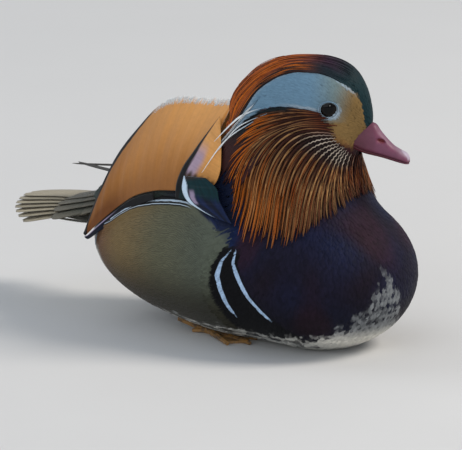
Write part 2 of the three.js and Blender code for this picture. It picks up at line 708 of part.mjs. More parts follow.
function buildFoot(side) {
  const heel = vec(FOOT.at[0], side * FOOT.at[1], FLOOR + FOOT.radius * 0.8);
  const tips = [-1, 0, 1].map((toe) => {
    const angle = degToRad(side * (toe * FOOT.spread + FOOT.turn));
    const length = FOOT.toe * (toe ? TOE.outer : 1);
    return heel.clone().add(vec(Math.cos(angle) * length, Math.sin(angle) * length, -TOE.drop));
  });
  const toes = tips.map((tip) => tube(heel, tip, FOOT.radius, FOOT.radius * TOE.taper));
  const middle = new THREE.Vector2(heel.x, heel.y);
  const edges = tips.map((tip) => new THREE.Vector2(tip.x, tip.y).lerp(middle, TOE.bare));
  const webShape = new THREE.Shape([middle, ...edges]);
  const webBlock = new THREE.ExtrudeGeometry(webShape, { depth: FOOT.web, bevelEnabled: false });
  const web = solid(webBlock.translate(0, 0, FLOOR - 0.2));
  const hindTip = heel.clone().add(vec(-FOOT.hind, (side * FOOT.hind) / 2, -0.6));
  const hind = tube(heel, hindTip, FOOT.radius * 0.8, FOOT.radius * 0.5);
  const shank = tube(heel, heel.clone().add(vec(-FOOT.shank, side * 3, 5)), FOOT.radius, FOOT.radius * 1.1);
  const pieces = [...toes, web, hind, shank, ellipsoid(heel.toArray(), [2.6, 2.6, 2.4], still, 8)];
  return largest(cut(join(pieces), [floorCutter, whole(GAP - INSET.torso, GRID.torso)]));
}

// Colours and finishes
const finish = (color, roughness) => new THREE.MeshStandardMaterial({ color, roughness, metalness: 0 });
const MATERIALS = {
  flank: finish(0x8a713f, 0.75),
  whiskers: finish(0x9c4a17, 0.7),
  mask: finish(0xd8d6cf, 0.7),
  bill: finish(0xb2404b, 0.35),
  eye: finish(0x0b0908, 0.08),
  wing: finish(0x1c2338, 0.6),
  sail: finish(0xc27a33, 0.65),
  tail: finish(0x5a5245, 0.7),
  foot: finish(0xb98a45, 0.55),
};

const lockPaths = headLockPaths();
const pieces = {
  torso: [buildTorso(), MATERIALS.flank],
  neck: [buildNeck(headLocks(lockPaths, GAP)), MATERIALS.whiskers],
  head: [buildHead(lockPaths), MATERIALS.mask],
  bill_upper: [buildBillUpper(), MATERIALS.bill],
  bill_lower: [bill("lower", 0), MATERIALS.bill],
  tail: [buildTail(), MATERIALS.tail],
};
for (const [side, name] of [
  [1, "left"],
  [-1, "right"],
]) {
  pieces[`eye_${name}`] = [eyeball(side, 0), MATERIALS.eye];
  pieces[`wing_${name}`] = [buildWing(side), MATERIALS.wing];
  pieces[`sail_${name}`] = [sail(side, 0), MATERIALS.sail];
  pieces[`foot_${name}`] = [buildFoot(side), MATERIALS.foot];
}

// The origin is the middle of the underside.
const duck = new THREE.Group();
for (const [name, [body, material]] of Object.entries(pieces)) {
  const mesh = new THREE.Mesh(geometryOf(body), material);
  mesh.name = name;
  duck.add(mesh);
}
const bounds = new THREE.Box3().setFromObject(duck);
const middle = bounds.getCenter(vec(0, 0, 0));
duck.position.set(-middle.x, -middle.y, -bounds.min.z);

export default duck;
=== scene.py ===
"""A still drake mandarin duck: skin, feathers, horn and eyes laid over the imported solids."""
import math

import bpy
import numpy as np
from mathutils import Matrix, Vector


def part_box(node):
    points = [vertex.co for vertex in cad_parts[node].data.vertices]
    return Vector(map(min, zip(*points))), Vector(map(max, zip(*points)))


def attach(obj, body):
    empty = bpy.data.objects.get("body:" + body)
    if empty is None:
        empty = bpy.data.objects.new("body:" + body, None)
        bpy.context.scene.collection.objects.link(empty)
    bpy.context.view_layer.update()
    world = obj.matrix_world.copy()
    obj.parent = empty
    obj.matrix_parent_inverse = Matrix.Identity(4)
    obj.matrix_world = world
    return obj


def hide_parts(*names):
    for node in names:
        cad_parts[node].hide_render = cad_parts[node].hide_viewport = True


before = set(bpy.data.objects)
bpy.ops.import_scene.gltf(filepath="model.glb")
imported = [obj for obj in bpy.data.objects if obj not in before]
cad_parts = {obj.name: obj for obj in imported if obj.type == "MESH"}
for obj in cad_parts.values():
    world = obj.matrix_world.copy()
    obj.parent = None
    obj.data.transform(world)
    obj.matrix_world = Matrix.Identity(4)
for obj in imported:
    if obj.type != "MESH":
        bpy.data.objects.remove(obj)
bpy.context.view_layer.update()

# Sizes are in millimetres in the duck's own frame: X forward, Y to its left, Z up.
MM = 0.001
SEED = 11
rng = np.random.default_rng(SEED)
SIDES = (-1, 1)
UP = np.array([0, 0, 1.0])


def turn(degrees):
    """Axes turned about the vertical."""
    a = math.radians(degrees)
    return np.array([[math.cos(a), -math.sin(a), 0], [math.sin(a), math.cos(a), 0], [0, 0, 1.0]])


def rise(degrees):
    """Axes whose front is tipped up."""
    a = math.radians(-degrees)
    return np.array([[math.cos(a), 0, math.sin(a)], [0, 1.0, 0], [-math.sin(a), 0, math.cos(a)]])


HEAD_AT = np.array([53.0, 0.0, 135.0])
HEAD_AXES = turn(28)
NECK_AT = np.array([38.0, -3.0, 0.0])
NECK_AXES = turn(14)
NECK_ROOT = np.array([46, -2, 104.0])
TRUNK_LINE = 50.0
FLOOR = 1.5
EYE_X, EYE_OUT = 0.5, 10.6
EYE_LONG, EYE_HIGH = 5.2, 4.25


def from_head(p):
    return HEAD_AT + np.asarray(p, float) @ HEAD_AXES.T


def to_head(p):
    return (p - HEAD_AT) @ HEAD_AXES


def named(stem, side):
    return stem + ("_left" if side > 0 else "_right")


def sided(p, side):
    """Mirrors places to the right for side -1."""
    return np.asarray(p, float) * np.array([1, side, 1])


eye_low, eye_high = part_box("eye_left")
SHIFT = np.array((eye_low + eye_high) / 2) / MM - from_head((EYE_X, EYE_OUT, 0))

# The body's masses: place, half sizes, turn. The head's masses: place, half sizes, rise.
BODY_MASSES = [
    ((49, 0, 41), (47, 51, 40.5), 0),
    ((0, 0, 47), (80, 57, 47), 0),
    ((-46, 0, 46.5), (57, 47.5, 37), 0),
    ((-78, 0, 62), (33, 21, 12), 0),
    ((-10, 0, 72), (64, 38, 24), 0),
    ((37, -3, 84), (31, 35, 33), 0),
    ((38, -6, 106), (25, 24, 26), 20),
    ((16, -17, 100), (24, 20, 20), 35),
]
HEAD_MASSES = [
    ((-6, 0, 5), (25, 16, 18), 0),
    ((9, 0, -7), (12.5, 8.5, 13.5), 0),
    ((-6, 0, -11), (18, 16.5, 13), 0),
    ((-15, 0, 13.5), (27, 9, 12), 4),
    ((-34, 0, 4), (25, 9.5, 15), 32),
    ((-34, 0, -20), (20, 15, 20), 30),
]
BODY = [(np.array(at, float), np.array(size, float), turn(a)) for at, size, a in BODY_MASSES]
HEAD = [(from_head(at), np.array(size, float), HEAD_AXES @ rise(a)) for at, size, a in HEAD_MASSES]
BODY_BLEND, HEAD_BLEND, NECK_BLEND = 14, 7, 12


def ellipsoid(p, at, size, axes):
    q = (p - at) @ axes / size
    near = np.sqrt((q * q).sum(-1))
    q = q / size
    return near * (near - 1) / np.maximum(np.sqrt((q * q).sum(-1)), 1e-9)


def melt(a, b, k):
    h = np.clip(0.5 + 0.5 * (b - a) / k, 0, 1)
    return b * (1 - h) + a * h - k * h * (1 - h)


def melted(p, masses, blend):
    d = ellipsoid(p, *masses[0])
    for mass in masses[1:]:
        d = melt(d, ellipsoid(p, *mass), blend)
    return d


def body_depth(p):
    return melted(p, BODY, BODY_BLEND)


def head_depth(p):
    return melted(p, HEAD, HEAD_BLEND)


def depth(p):
    """Signed distance to the outside of the plumage."""
    return melt(body_depth(p), head_depth(p), NECK_BLEND)


PROBE = np.array([[1, 1, 1], [1, -1, -1], [-1, 1, -1], [-1, -1, 1]]) * 0.4


def slope(p):
    values = [depth(p + d) for d in PROBE]
    g = sum(v[..., None] * d for v, d in zip(values, PROBE)) / (4 * 0.16)
    return sum(values) / 4, g


def unit(v):
    return v / np.maximum(np.sqrt((v * v).sum(-1, keepdims=True)), 1e-9)


def flat(way, out):
    """The part of a direction that lies along the surface."""
    return unit(way - (way * out).sum(-1, keepdims=True) * out)


def settle(p, level=0.0, rounds=3):
    """Moves points to a height over the plumage and returns them with the outward direction."""
    p = np.array(p, float)
    for _ in range(rounds):
        v, g = slope(p)
        p = p - ((v - level) / np.maximum((g * g).sum(-1), 0.2))[..., None] * g
    return p, unit(slope(p)[1])


def rays(origin, towards, level=0.0, reach=160.0):
    """Where rays from inside leave the plumage."""
    towards = unit(towards)
    low = np.zeros(towards.shape[:-1])
    high = np.full(low.shape, reach)
    for _ in range(22):
        mid = (low + high) / 2
        inside = depth(origin + towards * mid[..., None]) < level
        low = np.where(inside, mid, low)
        high = np.where(inside, high, mid)
    return origin + towards * low[..., None]


def on_trunk(x, angle, side, height=0.0):
    """A point on the trunk: x along it, the angle down from the midline of the back."""
    x = np.asarray(x, float)
    a = np.radians(np.asarray(angle, float))
    towards = np.stack(np.broadcast_arrays(0 * x, side * np.sin(a), np.cos(a)), -1)
    origin = np.stack(np.broadcast_arrays(x, 0 * x, TRUNK_LINE), -1)
    return rays(origin, towards, height)


def smooth(low, high, x):
    t = np.clip((x - low) / (high - low), 0, 1)
    return t * t * (3 - 2 * t)


def mix(a, b, w):
    return a + (np.asarray(b) - a) * np.asarray(w)[..., None]


def layered(colour, *coats):
    """Lays colours over a first one, each by its own weight."""
    for above, weight in coats:
        colour = mix(colour, above, weight)
    return colour


def paint(r, g, b):
    """A colour named in 0 to 255, made linear."""
    c = np.array([r, g, b], float) / 255
    return np.where(c <= 0.04045, c / 12.92, ((c + 0.055) / 1.055) ** 2.4)


GREEN = paint(13, 32, 38)
TEAL = paint(10, 48, 54)
PURPLE = paint(58, 34, 52)
COPPER = paint(118, 60, 38)
RUST = paint(150, 74, 28)
RUST_DARK = paint(62, 30, 20)
BAND = paint(108, 142, 166)
BAND_PALE = paint(158, 178, 194)
WHITE = paint(222, 226, 228)
BAR_WHITE = paint(164, 190, 220)
PEARL = paint(112, 128, 126)
GOLD = paint(124, 98, 58)
OCHRE = paint(116, 76, 40)
MAROON = paint(58, 24, 22)
NIGHT = paint(20, 26, 28)
BREAST = paint(25, 19, 30)
BREAST_BLUE = paint(22, 27, 52)
BREAST_RED = paint(46, 22, 30)
OLIVE = paint(98, 97, 76)
FLANK_DARK = paint(40, 35, 24)
KHAKI = paint(130, 106, 66)
GREY_GREEN = paint(84, 92, 82)
RUFOUS = paint(110, 62, 34)
BACK = paint(62, 56, 44)
BACK_GREEN = paint(40, 52, 46)
BELLY = paint(210, 208, 200)
BELLY_GREY = paint(138, 142, 144)
BLACK = paint(14, 14, 17)
WHISKER = paint(142, 70, 26)
WHISKER_DARK = paint(92, 38, 16)
WHISKER_BRIGHT = paint(216, 112, 20)
SHAFT = paint(204, 162, 104)
SHAFT_WHITE = paint(226, 218, 204)
SAIL = paint(184, 124, 64)
SAIL_PALE = paint(222, 158, 88)
SAIL_DEEP = paint(116, 70, 36)
TERTIAL_BROWN = paint(70, 50, 34)
SCAPULAR_BROWN = paint(44, 36, 34)
NAVY = paint(20, 34, 70)
NAVY_DARK = paint(11, 17, 33)
LILAC = paint(168, 152, 180)
PALE_BLUE = paint(200, 220, 238)
TAIL = paint(168, 158, 136)
TAIL_DARK = paint(112, 104, 90)
PUPIL = paint(4, 4, 5)
IRIS = paint(15, 11, 9)
LID_DARK = paint(16, 16, 20)
BILL_ROSE = paint(112, 60, 84)
BILL_DARK = paint(82, 32, 42)
BILL_PALE = paint(170, 160, 176)
BILL_RED = paint(120, 24, 30)
FOOT_OCHRE = paint(150, 110, 58)
FOOT_WEB = paint(78, 62, 46)

# The pale band's upper and lower edges, in the head's X and Z, and the flank's upper edge in the body's.
BAND_TOP = np.array([
    (-64, -30), (-56, -16), (-49, -4.7), (-43, 4.7), (-39, 9.4), (-35, 12.9), (-31, 15.9), (-27, 17.7),
    (-22, 20.2), (-16, 21), (-9, 21.2), (-5, 20.7), (0.5, 18.4), (6, 14.9), (11.4, 11), (15, 7),
    (17, 2.4), (18.2, -9), (20, -16), (30, -40),
])
BAND_LOW = np.array([
    (-64, -36), (-56, -19), (-46, -7.5), (-38.8, -2.9), (-32.7, -1.2), (-25, -0.7), (-18.7, -0.5), (-11, -0.9),
    (-7, -1.4), (-5.6, -4.2), (-4.6, -9.5), (-2.3, -13.8), (1.3, -17.8), (6.7, -22.4), (9.9, -25), (16, -34),
])
FLANK_PLACES = [
    (-90, 34), (-86, 44), (-80, 56), (-70, 61.5), (-61, 67.5), (-51, 72.5), (-31, 77.5), (-12.4, 79),
    (-2, 75.8), (10.6, 70.2), (17, 65.5), (25, 60.5), (34, 55), (60, 30),
]
BAR_LINES = [
    np.array([(25.5, 60.5), (20.4, 53.5), (17.7, 45), (19, 37.7), (20.6, 29.4), (26, 14)]),
    np.array([(27.6, 60.5), (27.4, 52.7), (31, 45.3), (36.4, 35.8), (43, 28.3), (56, 14)]),
]
BLACK_REAR = np.array([(20, 60.5), (14, 50.5), (12.2, 40), (12.9, 30), (17, 14)])
BAR_TOP, BAR_FOOT = 60, 25
BARS_TOP = 62
BELLY_TOP = 13


def curve(table, s):
    """Points along a smooth curve through a table of places."""
    table = np.asarray(table, float)
    last = len(table) - 1
    s = np.clip(np.asarray(s, float), 0, 1) * last
    i = np.clip(np.floor(s).astype(int), 0, last - 1)
    t = (s - i)[..., None]
    a, b, c, d = (table[np.clip(i + k, 0, last)] for k in (-1, 0, 1, 2))
    return 0.5 * (2 * b + (c - a) * t + (2 * a - 5 * b + 4 * c - d) * t * t + (3 * b - a - 3 * c + d) * t ** 3)


FLANK_LINE = curve(FLANK_PLACES, np.linspace(0, 1, 90))


def line(table, x):
    return np.interp(x, table[:, 0], table[:, 1])


def upward(table, z):
    return np.interp(-z, -table[:, 1], table[:, 0])


def ripple(p, scale, seed=0.0):
    """A smooth wandering value between about -1 and 1."""
    q = p / scale
    a = np.sin(q[..., 0] * 1.7 + 1.3 * np.sin(q[..., 1] * 1.1 + seed) + seed)
    b = np.sin(q[..., 1] * 1.9 + 1.1 * np.sin(q[..., 2] * 1.3 + seed * 2) + 2 * seed)
    c = np.sin(q[..., 2] * 1.5 + 1.2 * np.sin(q[..., 0] * 1.2 + seed * 3) + 3 * seed)
    return (a + b + c) / 3


def eye_rim(h):
    """1 on the edge of the eye's opening, more outside it; h is in the head's axes."""
    x = (h[..., 0] - EYE_X) / EYE_LONG
    z = h[..., 2] / EYE_HIGH
    return np.where(np.abs(h[..., 1]) > 6, np.sqrt(x * x + z * z), 9.0)


def crown_colour(x, z, top):
    """Green in front, copper and rust behind, dark along the pale band; top is below 0 over the band."""
    upper = smooth(-1.5, -5.0, top)
    return layered(
        GREEN,
        (TEAL, smooth(-12, 2, x) * smooth(22, 12, z) * 0.45),
        (PURPLE, smooth(12, -4, x) * (0.15 + 0.6 * upper)),
        (COPPER, smooth(-1, -20, x) * (0.3 + 0.7 * upper)),
        (RUST, smooth(-16, -38, x) * (0.2 + 0.65 * upper)),
        (NIGHT, smooth(-10, -20, x) * smooth(-4.0, -1.0, top) * 0.85))


def crest_colour(p):
    """The crown's colour for a strand, wherever it hangs."""
    h = to_head(p)
    return crown_colour(h[..., 0], h[..., 2], np.minimum(line(BAND_TOP, h[..., 0]) - h[..., 2], 0))


def head_colour(p):
    h = to_head(p)
    x, z = h[..., 0], h[..., 2]
    top = line(BAND_TOP, x) - z
    low = z - line(BAND_LOW, x)
    gold = smooth(-1.5, 13, x - 0.3 * z) * smooth(-14, -3, x)
    gold = np.maximum(gold, smooth(-3.5, -8, z) * smooth(-9, -5, x))
    streak = smooth(1.9, 0.3, np.abs(low - 1.0)) * smooth(-3.5, -6, x) * smooth(-34, -9, x)
    face = layered(
        BAND,
        (BAND_PALE, smooth(-38, -56, x)),
        (BAND_PALE, smooth(3.4, 0.8, top) * 0.55),
        (PEARL, smooth(-12, 6, x) * 0.9),
        (GOLD, gold),
        (OCHRE, gold * smooth(9, 1, low) * smooth(-2, -9, z) * 0.75),
        (WHITE, 0.4 * streak),
        (BAND_PALE, smooth(1.32, 1.16, eye_rim(h)) * (0.3 + 0.5 * smooth(1, -2, z))),
        (BLACK, smooth(4.2, 1.8, np.hypot(x - 15.5, z + 23))))
    return layered(
        NIGHT,
        (MAROON, smooth(-4, -22, z) * 0.8),
        (WHISKER_DARK, smooth(-40, -30, x)),
        (face, smooth(-0.3, 0.3, low)),
        (BAND_PALE, smooth(1.0, 0.2, np.abs(top - 0.5)) * smooth(-26, -18, x) * smooth(15, 11, x) * 0.7),
        (crown_colour(x, z, top), smooth(0.25, -0.25, top)))


def marks(p):
    """Distances in millimetres that the body's material draws its fine lines from.

    Under the flank's upper edge, and to each of the two shoulder bars, which end at the top and foot."""
    x, out, z = p[..., 0], np.abs(p[..., 1]), p[..., 2]
    under_edge = line(FLANK_LINE, x) - z
    beyond = 0.09 * np.maximum(0, z - 47) + 0.8 * np.maximum(0, z - BAR_TOP)
    beyond = beyond + 0.35 * np.maximum(0, BAR_FOOT - z) + np.maximum(0, 24 - out)
    first, second = (np.abs(x - upward(bar, z)) + beyond for bar in BAR_LINES)
    return np.stack([under_edge, first, second], -1)


def body_colour(p):
    x, y, z = p[..., 0], p[..., 1], p[..., 2]
    out = np.abs(y)
    breast = layered(
        BREAST,
        (BREAST_BLUE, 0.5 + 0.5 * ripple(p, 9, 1)),
        (BREAST_RED, smooth(0.1, 0.8, ripple(p, 13, 4)) * 0.6),
        # Painted shade: the breast darkens towards the bottom.
        (BLACK, smooth(46, 20, z) * 0.55),
        (MAROON, smooth(94, 106, z) * 0.8))
    shoulder = layered(
        NAVY,
        (NAVY_DARK, 0.5 + 0.5 * ripple(p, 5, 3)),
        (TEAL * 0.6, smooth(84, 89, z) * smooth(4, -4, x)))
    back = layered(
        BACK,
        (BACK_GREEN, smooth(-30, -70, x)),
        (shoulder, smooth(-26, -20, x) * smooth(30, 34, out)))
    under_cape = smooth(BARS_TOP, BAR_TOP, z)
    after_bars = smooth(1.2, 2.8, x - upward(BAR_LINES[1], z) - 0.9) * under_cape
    after_bars = np.maximum(after_bars, smooth(59, 62, z + 0.3 * (x - 24)) * smooth(24, 30, x))
    ragged = 5.0 * ripple(p, 0.9, 7) + 7.0 * ripple(p, 3.1, 9)
    bib = 8.5 + 38 * smooth(64, 88, x + 0.3 * out) * np.exp(-((y + 6) / 17) ** 2)
    speckle = smooth(-0.55, 0.25, ripple(p, 1.0, 3) + 1.3 * smooth(24, 9, z))
    return layered(
        OLIVE,
        (GREY_GREEN, smooth(-26, 8, x) * 0.8),
        (KHAKI, smooth(-22, -62, x) * 0.9),
        (RUFOUS, smooth(-60, -82, x) * 0.7),
        # Painted shade: FLANK_DARK darkens the flank towards the bottom.
        (FLANK_DARK, smooth(50, 20, z) * 0.85),
        (back, smooth(-0.4, 0.4, z - line(FLANK_LINE, x))),
        (BELLY, smooth(-84, -92, x + 0.4 * (z - 50)) * smooth(58, 50, z)),
        (BLACK, smooth(-0.5, 0.5, x - upward(BLACK_REAR, z)) * under_cape),
        (breast, after_bars),
        (mix(BELLY, BELLY_GREY, smooth(10, 20, z)),
         smooth(3, -3, z - bib - ragged) * speckle * (1 - 0.3 * smooth(10, 20, z))))


def colours(p):
    head = smooth(2.0, -2.0, head_depth(p) - body_depth(p))
    return mix(body_colour(p), head_colour(p), head)


# Meshes from arrays

def place(p):
    """Points of the duck's own frame in metres, in the row frame."""
    return (np.asarray(p, float) + SHIFT) * MM


def make_piece(name, points, quads, triangles, material, slot_name, nodes=(), tint=None, vane=None, bake=None,
               marked=False, normals=None):
    """One piece from arrays. tint is a colour a point, vane is (along, across, chance) a point."""
    mesh = bpy.data.meshes.new(name)
    mesh.vertices.add(len(points))
    mesh.vertices.foreach_set("co", place(points).astype(np.float32).ravel())
    corners = np.concatenate([np.asarray(quads, int).ravel(), np.asarray(triangles, int).ravel()])
    sizes = np.concatenate([np.full(len(quads), 4), np.full(len(triangles), 3)])
    mesh.loops.add(len(corners))
    mesh.loops.foreach_set("vertex_index", corners.astype(np.int32))
    mesh.polygons.add(len(sizes))
    starts = np.concatenate([[0], np.cumsum(sizes)[:-1]])
    mesh.polygons.foreach_set("loop_start", starts.astype(np.int32))
    mesh.polygons.foreach_set("loop_total", sizes.astype(np.int32))
    mesh.update(calc_edges=True)
    mesh.polygons.foreach_set("use_smooth", np.ones(len(sizes), bool))
    rgba = np.concatenate([tint, np.ones((len(tint), 1))], 1)
    layer = mesh.color_attributes.new("tint", "FLOAT_COLOR", "POINT")
    layer.data.foreach_set("color", rgba.astype(np.float32).ravel())
    for label, values in (("vane", vane), ("marks", marks(points) if marked else None)):
        if values is not None:
            layer = mesh.attributes.new(label, "FLOAT_VECTOR", "POINT")
            layer.data.foreach_set("vector", values.astype(np.float32).ravel())
    if bake is not None:
        layer = mesh.uv_layers.new(name="OFBake")
        layer.data.foreach_set("uv", bake[corners].astype(np.float32).ravel())
    mesh.validate()
    if normals is not None:
        mesh.normals_split_custom_set_from_vertices(normals.astype(np.float32))
    thing = bpy.data.objects.new(name, mesh)
    bpy.context.scene.collection.objects.link(thing)
    thing.data.materials.append(material)
    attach(thing, "root")
    if nodes:
        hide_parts(*nodes)
    return thing


def loft_faces(count, rings, sides):
    """Faces of closed blades that are each a stack of rings."""
    index = np.arange(rings * sides).reshape(rings, sides)
    a = index[:-1]
    b = np.roll(a, -1, 1)
    c = index[1:]
    d = np.roll(c, -1, 1)
    quads = np.stack([a, b, d, c], -1).reshape(-1, 4)
    fan = [(end[0], end[i], end[i + 1]) for end in (index[0][::-1], index[-1]) for i in range(1, sides - 1)]
    offset = (np.arange(count) * rings * sides)[:, None, None]
    return (quads[None] + offset).reshape(-1, 4), (np.array(fan)[None] + offset).reshape(-1, 3)


BODY_UNWRAP = (np.array([0, 0, 47.0]), np.eye(3), np.array([98.0, 56, 47]))
HEAD_UNWRAP = (from_head((-14, 0, -3)), HEAD_AXES, np.array([42.0, 17, 32]))
PATCH = 0.003
CELL_FILL, CELL_MARGIN = 0.92, 0.04


def unwrap(p, chart):
    """Two discs side by side, one for each side of the skin, equal in area over an ellipsoid."""
    at, axes, size = chart
    d = unit((p - at) @ axes / size)
    side = np.where(d[..., 1] > 0, 1.0, -1.0)
    k = np.sqrt(1 / np.maximum(1 + np.abs(d[..., 1]), 1e-6))
    return np.stack([0.5 + side * 0.25 + 0.24 * k * d[..., 0], 0.5 + 0.48 * k * d[..., 2]], -1)


class Coat:
    """The feathers of one piece: stacks of rings, with a colour and a place on the vane a point."""

    def __init__(self, name, chart=None):
        self.name = name
        self.chart = chart
        self.groups = []

    def add(self, rings, tint, along, across, roots=None, normals=None):
        """Feathers of one form: rings is (feathers, rings, sides, 3); the map follows their roots."""
        self.groups.append((rings, tint, along, across, roots, normals))

    def put(self, rings, along, across, tint):
        """One large feather, which takes a cell of the piece's map for itself."""
        self.add(rings[None], tint[None], along[None], across[None])

    def build(self, material, slot_name, *nodes, marked=False):
        parts = [[] for _ in range(7)]
        columns = math.ceil(math.sqrt(len(self.groups)))
        base = 0
        for n, (rings, tint, along, across, roots, soft) in enumerate(self.groups):
            shape = rings.shape[:3]
            quads, fans = loft_faces(*shape)
            chance = rng.random(shape[0])[:, None, None]
            along, across, chance = (np.broadcast_to(v, shape) for v in (along, across, chance))
            if roots is None:
                corner = np.array([n % columns, n // columns]) / columns
                cell = np.stack([along, (across + 1) / 2], -1) * CELL_FILL / columns
                uv = cell + corner + CELL_MARGIN / columns
            else:
                patch = np.stack([along - 0.5, across / 2], -1) * PATCH
                uv = unwrap(roots, self.chart)[:, None, None] + patch
            vane = np.stack([along, across, chance], -1)
            tint = np.broadcast_to(tint, rings.shape)
            made = (rings, quads + base, fans + base, tint, vane, uv, soft)
            for part, values in zip(parts, made):
                if values is not None:
                    part.append(values.reshape(-1, values.shape[-1]))
            base += rings[..., 0].size
        points, quads, fans, tint, vane, uv, soft = (np.concatenate(part) if part else None for part in parts)
        return make_piece(self.name, points, quads, fans, material, slot_name, nodes, tint, vane, uv,
                          marked, soft)


def scatter(points, spacing):
    """Picks points so that no two picked ones are nearer than the spacing, in a random order."""
    order = rng.permutation(len(points)).tolist()
    cells = {}
    picked = []
    listed = points.tolist()
    keys = np.floor(points / spacing).astype(int).tolist()
    near = [(i, j, k) for i in (-1, 0, 1) for j in (-1, 0, 1) for k in (-1, 0, 1)]
    limit = spacing * spacing
    for n in order:
        a, b, c = keys[n]
        x, y, z = listed[n]
        taken = (q for i, j, k in near for q in cells.get((a + i, b + j, c + k), ()))
        if all((u - x) ** 2 + (v - y) ** 2 + (w - z) ** 2 >= limit for u, v, w in taken):
            cells.setdefault((a, b, c), []).append((x, y, z))
            picked.append(n)
    return np.array(picked, int)


def surface_nets(field, low, high, step):
    """Quads of the surface where a field is zero."""
    low, high = np.array(low, float), np.array(high, float)
    n = np.ceil((high - low) / step).astype(int) + 1
    axes = [low[i] + step * np.arange(n[i]) for i in range(3)]
    grid = np.stack(np.meshgrid(*axes, indexing="ij"), -1).reshape(-1, 3)
    v = field(grid).reshape(n)
    inside = v < 0
    total = np.zeros(tuple(n - 1) + (3,))
    number = np.zeros(tuple(n - 1))
    crossings = []
    for a in range(3):
        o = [(a + 1) % 3, (a + 2) % 3]
        cut0 = [slice(None)] * 3
        cut1 = [slice(None)] * 3
        cut0[a] = slice(0, -1)
        cut1[a] = slice(1, None)
        v0, v1 = v[tuple(cut0)], v[tuple(cut1)]
        crossed = inside[tuple(cut0)] != inside[tuple(cut1)]
        crossings.append((crossed, inside[tuple(cut0)]))
        t = np.where(crossed, v0 / np.where(crossed, v0 - v1, 1), 0)
        for i in (0, 1):
            for j in (0, 1):
                part = [slice(None)] * 3
                part[o[0]] = slice(i, crossed.shape[o[0]] - 1 + i)
                part[o[1]] = slice(j, crossed.shape[o[1]] - 1 + j)
                c = crossed[tuple(part)]
                total[..., a] += np.where(c, t[tuple(part)], 0)
                total[..., o[0]] += np.where(c, i, 0)
                total[..., o[1]] += np.where(c, j, 0)
                number += c
    has = number > 0
    index = -np.ones(has.shape, int)
    index[has] = np.arange(has.sum())
    points = low + step * (np.argwhere(has) + total[has] / number[has][:, None])
    quads = []
    for a, (crossed, first_inside) in enumerate(crossings):
        o = [(a + 1) % 3, (a + 2) % 3]
        e = np.argwhere(crossed)
        keep = (e[:, o[0]] > 0) & (e[:, o[1]] > 0)
        keep &= (e[:, o[0]] < has.shape[o[0]]) & (e[:, o[1]] < has.shape[o[1]])
        e = e[keep]
        corner = []
        for steps in ((-1, -1), (0, -1), (0, 0), (-1, 0)):
            q = e.copy()
            q[:, o] += np.array(steps)
            corner.append(index[tuple(q.T)])
        quad = np.stack(corner, 1)
        flip = ~first_inside[tuple(e.T)]
        quad[flip] = quad[flip][:, ::-1]
        quads.append(quad)
    return points, np.concatenate(quads)


# Materials

class Wire:
    """A value in a material's node tree, for sums and products."""

    def __init__(self, look, socket):
        self.look = look
        self.socket = socket

    def worked(self, operation, *others):
        node = self.look.node("Math")
        node.operation = operation
        for socket, value in zip(node.inputs, (self, *others)):
            self.look.feed(socket, value)
        return Wire(self.look, node.outputs[0])

    def __add__(self, other):
        return self.worked("ADD", other)

    def __sub__(self, other):
        return self.worked("SUBTRACT", other)

    def __mul__(self, other):
        return self.worked("MULTIPLY", other)


class Look:
    """A material with its shader. Values that go into it are wires or constants."""

    def __init__(self, name, **constants):
        self.material = bpy.data.materials.new(name)
        self.material.use_nodes = True
        self.tree = self.material.node_tree
        self.tree.nodes.clear()
        self.shader = self.node("BsdfPrincipled")
        self.tree.links.new(self.shader.outputs["BSDF"], self.node("OutputMaterial").inputs["Surface"])
        self.place = Wire(self, self.node("TexCoord").outputs["Object"])
        for label, value in constants.items():
            self.shade(label.replace("_", " "), value)

    def node(self, kind):
        return self.tree.nodes.new("ShaderNode" + kind)

    def feed(self, socket, value):
        if isinstance(value, Wire):
            self.tree.links.new(value.socket, socket)
        else:
            socket.default_value = value

    def shade(self, label, value):
        self.feed(self.shader.inputs[label], value)

    def attribute(self, label, output):
        node = self.node("Attribute")
        node.attribute_name = label
        return Wire(self, node.outputs[output])

    def parts(self, value):
        node = self.node("SeparateXYZ")
        self.feed(node.inputs[0], value)
        return [Wire(self, output) for output in node.outputs]

    def noise(self, scale, detail):
        node = self.node("TexNoise")
        node.inputs["Scale"].default_value = scale
        node.inputs["Detail"].default_value = detail
        self.feed(node.inputs["Vector"], self.place)
        return Wire(self, node.outputs["Fac"])

    def ramp(self, value, *stops):
        """A grey ramp from (place, grey) stops."""
        node = self.node("ValToRGB")
        for element, (at, grey) in zip(node.color_ramp.elements, stops):
            element.position = at
            element.color = (grey, grey, grey, 1)
        self.feed(node.inputs["Fac"], value)
        return Wire(self, node.outputs["Color"])

    def band(self, value, middle, half, soft):
        """1 where a value is within half of the middle, with soft ends."""
        node = self.node("MapRange")
        node.interpolation_type = "SMOOTHSTEP"
        node.inputs["From Min"].default_value = half + soft
        node.inputs["From Max"].default_value = half - soft
        self.feed(node.inputs["Value"], (value - middle).worked("ABSOLUTE"))
        return Wire(self, node.outputs["Result"])

    def over(self, below, above, weight):
        """Lays a colour over another by a weight."""
        node = self.node("Mix")
        node.data_type = "RGBA"
        self.feed(node.inputs["Factor"], weight)
        self.feed(node.inputs["A"], below)
        self.feed(node.inputs["B"], (*above, 1))
        return Wire(self, node.outputs["Result"])

    def coloured(self, colour, factor):
        """The shader's colour is a colour times a factor."""
        node = self.node("VectorMath")
        node.operation = "SCALE"
        self.feed(node.inputs[0], colour)
        self.feed(node.inputs["Scale"], factor)
        self.shade("Base Color", Wire(self, node.outputs[0]))

    def bump(self, height, strength, distance):
        node = self.node("Bump")
        node.inputs["Strength"].default_value = strength
        node.inputs["Distance"].default_value = distance
        self.feed(node.inputs["Height"], height)
        self.shade("Normal", Wire(self, node.outputs["Normal"]))


BAR_HALF = 1.45
FINE_LINE_GAP = 1.05
EDGE_BLUE = PALE_BLUE * 0.9
